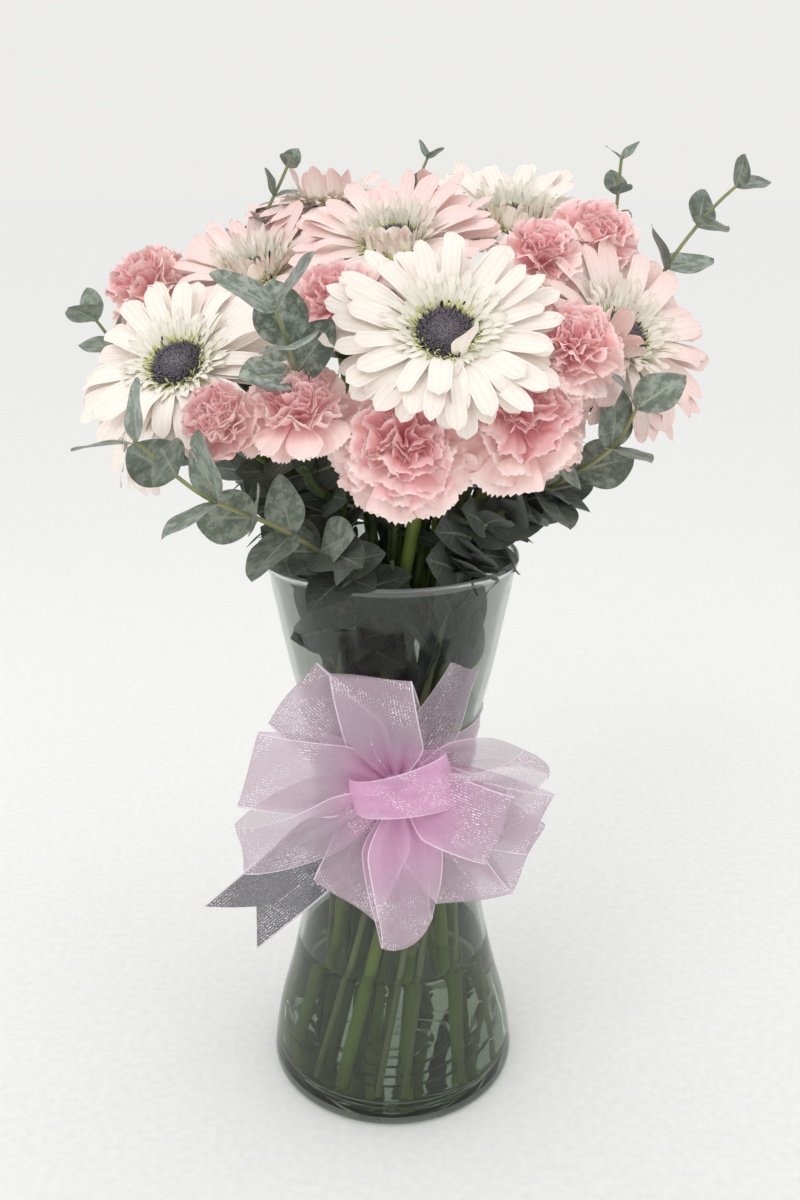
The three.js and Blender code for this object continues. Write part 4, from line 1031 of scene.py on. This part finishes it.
def spray_mesh(spray):
    mesh, rng = begun(spray, 300)
    draw, loose = seeded(spray["seed"]), seeded(spray["seed"] + 900)
    (straight, free), pale = spray_route(spray), spray["pale"]
    thin = np.linspace(1.25, 0.55, len(free)) / 1.25
    radius = SPRAY_STEM * np.concatenate([np.ones(len(straight)), thin])
    tube(mesh, np.concatenate([straight, free]), radius, 8, tone=0.6)
    if "twig" in spray:
        start, tip = point_on(free, TWIG_START), vec(*spray["twig"])
        lead = unit(point_on(free, TWIG_START + 0.05) - start)
        bend = start + lead * np.linalg.norm(tip - start) * TWIG_LEAD
        t = np.linspace(0, 1, 25)[:, None]
        side = start * (1 - t) ** 2 + 2 * bend * t * (1 - t) + tip * t**2
        tube(mesh, side, np.linspace(1.0, 0.6, 25), 8, tone=0.6)
        leaf_pairs(mesh, draw, side, dict(TWIG_LOOK, leaf=spray["twig_leaf"]), pale)
    leaf_pairs(mesh, draw, free, spray, pale)
    # Small leaves stand among the stems in the mouth of the vase.
    for height in MOUTH_HEIGHTS:
        root = bundle_point(spray["place"], min(height, spray["exit"] - 20))
        outward = unit(vec(root[0], root[1], 0))
        swing = turned(outward, UP, pi / 2 + (loose() - 0.5) * 2.4)
        size = 17 + 8 * loose()
        leaf(mesh, root, unit(UP * 0.9 + swing * 0.5 - outward * 0.15), unit(outward + swing * 0.4), size,
             size * 0.7, tone=0.5 * loose(), bow=-0.1 * loose(), layer=0.1)
    for _ in range(MOUTH_LEAVES):
        mouth_leaf(mesh, rng, spray["place"], rng.uniform(14, 19), rng.uniform(0.1, 0.6),
                   widest=0.5, point=0.8, layer=0.2)
    # Leaves low on the stem fill the space under the blooms; their low tone and layer darken them, painted
    # shade for the shadow under the blooms.
    for place in LOW_LEAVES:
        root = point_on(free, place)
        outward = unit(vec(root[0], root[1], 0))
        for _ in range(3):
            swing = turned(outward, UP, (loose() - 0.5) * 3.4)
            along = unit(swing + UP * (0.7 * loose() - 0.05))
            size = 20 + 13 * loose()
            leaf(mesh, root, along, unit(UP * (0.3 + loose()) + outward * 0.8), size, size * 0.74,
                 tone=0.3 * loose(), bow=0.05 + 0.25 * loose(), layer=0.0)
    return mesh


# ---- Ribbon ----

ROLL_LENGTH, TIE_LENGTH = 84, 16
ROLL_TILT = radians(11)
RIBBON_COLS = 21
BOW_SEED = 71


def ribbon_axes(item):
    """The loop's run, the direction across the ribbon and the way the loop opens."""
    toward, lean = radians(item["toward"]), radians(item["lean"])
    run = vec(cos(toward) * cos(lean), -sin(lean), sin(toward) * cos(lean))
    front = unit(vec(0, -1, 0) + run * run[1])
    across = turned(np.cross(front, run), run, radians(item["roll"]))
    return run, across, np.cross(run, across)


def ribbon_strip(mesh, path, item, rng):
    """Lays a strip along (x, z) points in the loop's own plane, gathered towards the knot."""
    run, across, front = ribbon_axes(item)
    x, z = path[:, :1], path[:, 1:]
    _, v = places_on(len(path), RIBBON_COLS)
    reach = x / item["length"]
    spread = smooth(np.clip(reach * GATHER, 0, 1))
    width = RIBBON_WIDTH / 2 * (0.16 + 0.84 * spread) * (1 - item.get("taper", 0) * smooth(reach, 0.35, 1.0))
    step = np.gradient(path, axis=0)
    step /= np.linalg.norm(step, axis=1)[:, None]
    fade = 1 - smooth(reach, 0.1, 0.95)
    pleat = 2.0 * fade * np.sin(2.5 * pi * v + item["toward"]) + 0.5 * fade * np.sin(6.5 * pi * v)
    lift = pleat + 0.8 * np.sin(pi * v * rng.uniform(0.5, 1.1) + rng.uniform(0, TAU)) * spread
    x = x + item.get("slant", 0) * v * smooth(reach, 0.3, 1.0)
    x = x - item.get("round", 0) * v**2 * smooth(reach, 0.6, 1.0)
    x = x - item.get("notch", 0) * (1 - np.abs(v)) * smooth(reach, 0.45, 1.0)
    points = KNOT + run * (x - step[:, 1:] * lift)[..., None] + across * (width * v)[..., None]
    points = points + front * (z + step[:, :1] * lift)[..., None]
    # A tail's grey share takes its tone below zero: painted shade.
    tone = 1 - smooth(reach, 0.08, item.get("pink", 0.6)) - item.get("silver", 0) * spread
    gathered = 1 - smooth(np.clip(reach * GATHER, 0, 1), 0.0, 0.7)
    mesh.grid(points, tone=tone, layer=0.5 * gathered)


def loop_path(item):
    """Out along the back, round a pressed fold, and home along the front."""
    length, half = item["length"], item["open"] / 2
    out = [(4, 0.4), (0.25 * length, 0.62 * half), (0.52 * length, half), (0.76 * length, 0.85 * half)]
    out += [(0.92 * length, 0.42 * half), (length - 1.2, 0.75), (length - 0.3, 0.45)]
    corners = [(x, -z) for x, z in out] + [(length, 0)] + out[::-1]
    curve = catmull([(x, 0, z) for x, z in corners], per_span=10)
    return resampled(curve, 60)[:, [0, 2]]


def tail_path(item):
    x = np.linspace(2, item["length"], 36)
    return np.stack([x, 1.6 * np.sin(x / item["length"] * 5 + item["toward"])], axis=1)


def knot_roll(mesh):
    """The roll of ribbon over the knot."""
    turn = np.linspace(0.62 * pi, 2.38 * pi, 56)[:, None]
    _, v = places_on(56, 17)
    swell = 1 + 0.05 * (1 - v**2)
    x = 21 * np.cos(turn) * swell
    y = 9 * np.sin(turn) * swell + 0.5 * np.sin(9 * v + 2 * turn)
    z = RIBBON_WIDTH / 2 * v * (0.62 + 0.12 * np.cos(turn))
    c, s = cos(ROLL_TILT), sin(ROLL_TILT)
    points = KNOT + vec(2, -11, 5) + np.stack([x * c - z * s, y, z * c + x * s], axis=-1)
    mesh.grid(points, tone=1.0, layer=0.5)


def knot_tie(mesh):
    """The gathered tie that reaches back from the knot to the band."""
    back = -float(faceted_radius(KNOT[2] + 6.5)) - 1.4
    angle = circle(40)
    depth = np.linspace(back, KNOT[1] - 8, 12)[:, None] + 0 * angle
    girth = (1 + 0.12 * np.sin(angle * 9)) * (1 + 0.25 * np.linspace(-1, 1, 12)[:, None] ** 2)
    x, z = KNOT[0] + 5.5 * np.cos(angle) * girth, KNOT[2] + 6.5 * np.sin(angle) * girth
    mesh.grid(np.stack([x, depth, z], axis=-1), across=0.0, tone=1.0, layer=1.0, closed=True)


def bow_mesh():
    mesh, rng = Mesh(), np.random.default_rng(BOW_SEED)
    flat_length = 0.0
    for item in LOOPS:
        path = loop_path(item)
        flat_length += float(np.linalg.norm(np.diff(path, axis=0), axis=1).sum())
        ribbon_strip(mesh, path, item, rng)
    for item in TAILS:
        flat_length += item["length"]
        ribbon_strip(mesh, tail_path(item), item, rng)
    knot_roll(mesh)
    knot_tie(mesh)
    return mesh, flat_length + ROLL_LENGTH + TIE_LENGTH


def band_mesh():
    """The ribbon pulled tight round the waist, with shallow creases."""
    mesh, angle = Mesh(), circle(160)
    v = np.linspace(-1, 1, 13)[:, None]
    z = (BAND_LOW + BAND_HIGH) / 2 + (BAND_HIGH - BAND_LOW) / 2 * v + 0.5 * np.sin(angle * 3)
    crease = 0.35 * np.sin(v * 7 + np.sin(angle * 4) * 1.5) + 0.35
    points = polar(angle, outer_radius(z) + 0.55 + crease, 0, z)
    mesh.grid(points, along=np.abs(np.linspace(-1, 1, 160)), across=v, tone=0.25, layer=0.25, closed=True)
    return mesh


# ---- The bouquet ----

for bloom in GERBERAS:
    bloom.update(back=GERBERA_BACK, calyx=GERBERA_CALYX, thick=GERBERA_STEM)
for bloom in CARNATIONS:
    bloom.update(back=bloom["radius"] * CARNATION_BACK, calyx=CARNATION_CALYX, thick=CARNATION_STEM)
for bloom in GERBERAS + CARNATIONS:
    bloom["along"] = facing(bloom)
    bloom["end"] = vec(*bloom["at"]) - bloom["along"] * (bloom["back"] + bloom["calyx"])
for spray in SPRAYS:
    spray.update(end=vec(*spray["via"][1]), thick=SPRAY_STEM)
plants = GERBERAS + CARNATIONS + SPRAYS
for plant, place in zip(plants, bundle_plan(plants)):
    plant["place"] = place
for bloom in GERBERAS + CARNATIONS:
    bloom["route"] = stem_route(bloom)

shell, ivory = srgb(251, 242, 234), srgb(251, 245, 236)
petal_looks = dict(
    cream=petal_material("gerbera_cream", ivory, srgb(250, 240, 231), srgb(240, 224, 213)),
    blush=petal_material("gerbera_blush", ivory, srgb(247, 219, 212), srgb(240, 218, 210)),
    pink=petal_material("gerbera_pink", shell, srgb(247, 217, 211), srgb(240, 204, 202)),
)
eye, rose = eye_material(), carnation_material()
stem_green = green_material("stem_green", srgb(80, 94, 54), srgb(40, 52, 32), srgb(176, 196, 84))
twig_green = green_material("twig_green", srgb(150, 152, 112), srgb(112, 118, 84), srgb(186, 190, 134))
blade_green = leaf_material(
    "blade_green", srgb(72, 84, 66), srgb(104, 116, 98), srgb(116, 128, 106), srgb(36, 42, 36),
)
gum_leaf = leaf_material(
    "gum_leaf", srgb(112, 125, 110), srgb(188, 196, 184), srgb(176, 184, 166), srgb(44, 50, 44),
)
# The body's grey-green tint is partly the glass's own, partly painted shade that darkens what shows through
# it, as the inside of the vase lies in shade.
glass = glass_material("vase_glass", srgb(187, 193, 187), srgb(177, 184, 178), 0.0)
# The rim's glass is paler than the body and glows: a painted highlight along the rim.
rim_glass_highlight = glass_material("vase_rim_highlight", srgb(244, 247, 244), srgb(236, 241, 237), 0.18, PAINTED_RIM_GLOW)
organza = organza_material()

piece(vase_mesh(), "glass_vase", "vase", "glass", glass, rim_glass_highlight)
piece(water_mesh(), "vase_water", "water", "water", water_material())
for k, bloom in enumerate(GERBERAS, 1):
    matrix, look = bloom_matrix(bloom), bloom["look"]
    slot = "gerbera_pink" if look == "pink" else "gerbera_cream"
    petals = gerbera_petals(bloom).moved(matrix)
    piece(petals, f"gerbera_petals_{k}", f"gerbera_{k}_petals", slot, petal_looks[look])
    piece(gerbera_eye(bloom).moved(matrix), f"gerbera_eye_{k}", f"gerbera_{k}_eye", "gerbera_eye", eye)
    piece(gerbera_stem(bloom), f"gerbera_stem_{k}", f"gerbera_{k}_stem", "green_stem", stem_green)
for k, bloom in enumerate(CARNATIONS, 1):
    petals = carnation_petals(bloom).moved(bloom_matrix(bloom))
    piece(petals, f"carnation_petals_{k}", f"carnation_{k}_petals", "carnation_pink", rose)
    stalk = carnation_stem(bloom)
    piece(stalk, f"carnation_stem_{k}", f"carnation_{k}_stem", "green_stem", stem_green, blade_green)
for k, spray in enumerate(SPRAYS, 1):
    piece(spray_mesh(spray), f"eucalyptus_spray_{k}", f"eucalyptus_{k}", "eucalyptus", twig_green, gum_leaf)

bow, bow_length = bow_mesh()
bow = piece(bow, "organza_bow", "ribbon_bow", "organza", organza)
bow_length * MM
band = piece(band_mesh(), "organza_band", "ribbon_band", "organza", organza)

# ---- Floor, light and camera ----


def floor_mesh():
    """A round pale floor that runs out of sight on every side."""
    mesh = Mesh()
    lathe(mesh, [(r, 0) for r in (AXIS, 200, 500, 1000, 2500, 6000, 14000, 30000)], 64)
    return mesh


floor_mesh().object("floor", [paper_material()])


def lamp(name, place, target, size, power):
    """A soft lamp of the given width and height, aimed at a target and hidden from the camera."""
    light = bpy.data.lights.new(name, "AREA")
    light.shape = "ELLIPSE"
    light.size, light.size_y = size
    light.energy = power
    thing = bpy.data.objects.new(name, light)
    thing.location = place
    thing.rotation_euler = (Vector(target) - Vector(place)).to_track_quat("-Z", "Y").to_euler()
    thing.visible_camera = False
    bpy.context.scene.collection.objects.link(thing)


lamp("key", (-0.7, -1.1, 1.5), (0, 0, 0.3), (0.9, 0.9), 5.5)
lamp("fill", (1.3, -1.2, 0.9), (0, 0, 0.25), (1.4, 1.4), 1.5)
for side in (-1, 1):
    for depth in (-1, 1):
        lamp(f"edge_{side}_{depth}", (side * 0.75, depth * 0.45, 0.4), (0, 0, 0.15), (0.04, 0.8), 0.22)


def studio(seen, low, high):
    """Soft light that is stronger from above; the camera itself sees an even pale surround."""
    n = Nodes(bpy.data.worlds.new("studio"), "Background", "World Output")
    up = n.field("ShaderNodeSeparateXYZ", "Z", {0: n.field("ShaderNodeTexCoord", "Generated")})
    strength = n.field("ShaderNodeMapRange", 0, {"Value": up, "To Min": low, "To Max": high})
    n.show("Is Camera Ray", n.field("ShaderNodeBackground", 0, dict(Color=seen)))
    return n.set(Color=(1, 1, 1), Strength=strength)


bpy.context.scene.world = studio((0.84, 0.835, 0.815), 0.5, 1.25)

camera_data = bpy.data.cameras.new("camera")
camera_data.lens = 36
camera_data.sensor_width = 36
camera_data.sensor_fit = "AUTO"
camera_data.clip_start = 0.01
camera = bpy.data.objects.new("camera", camera_data)
camera.location = (0.00367, -0.51797, 0.428)
camera.rotation_euler = (radians(90 - 19.38), 0, 0)
bpy.context.scene.collection.objects.link(camera)
bpy.context.scene.camera = camera

view = bpy.context.scene.view_settings
view.view_transform = "Standard"
view.look = "None"
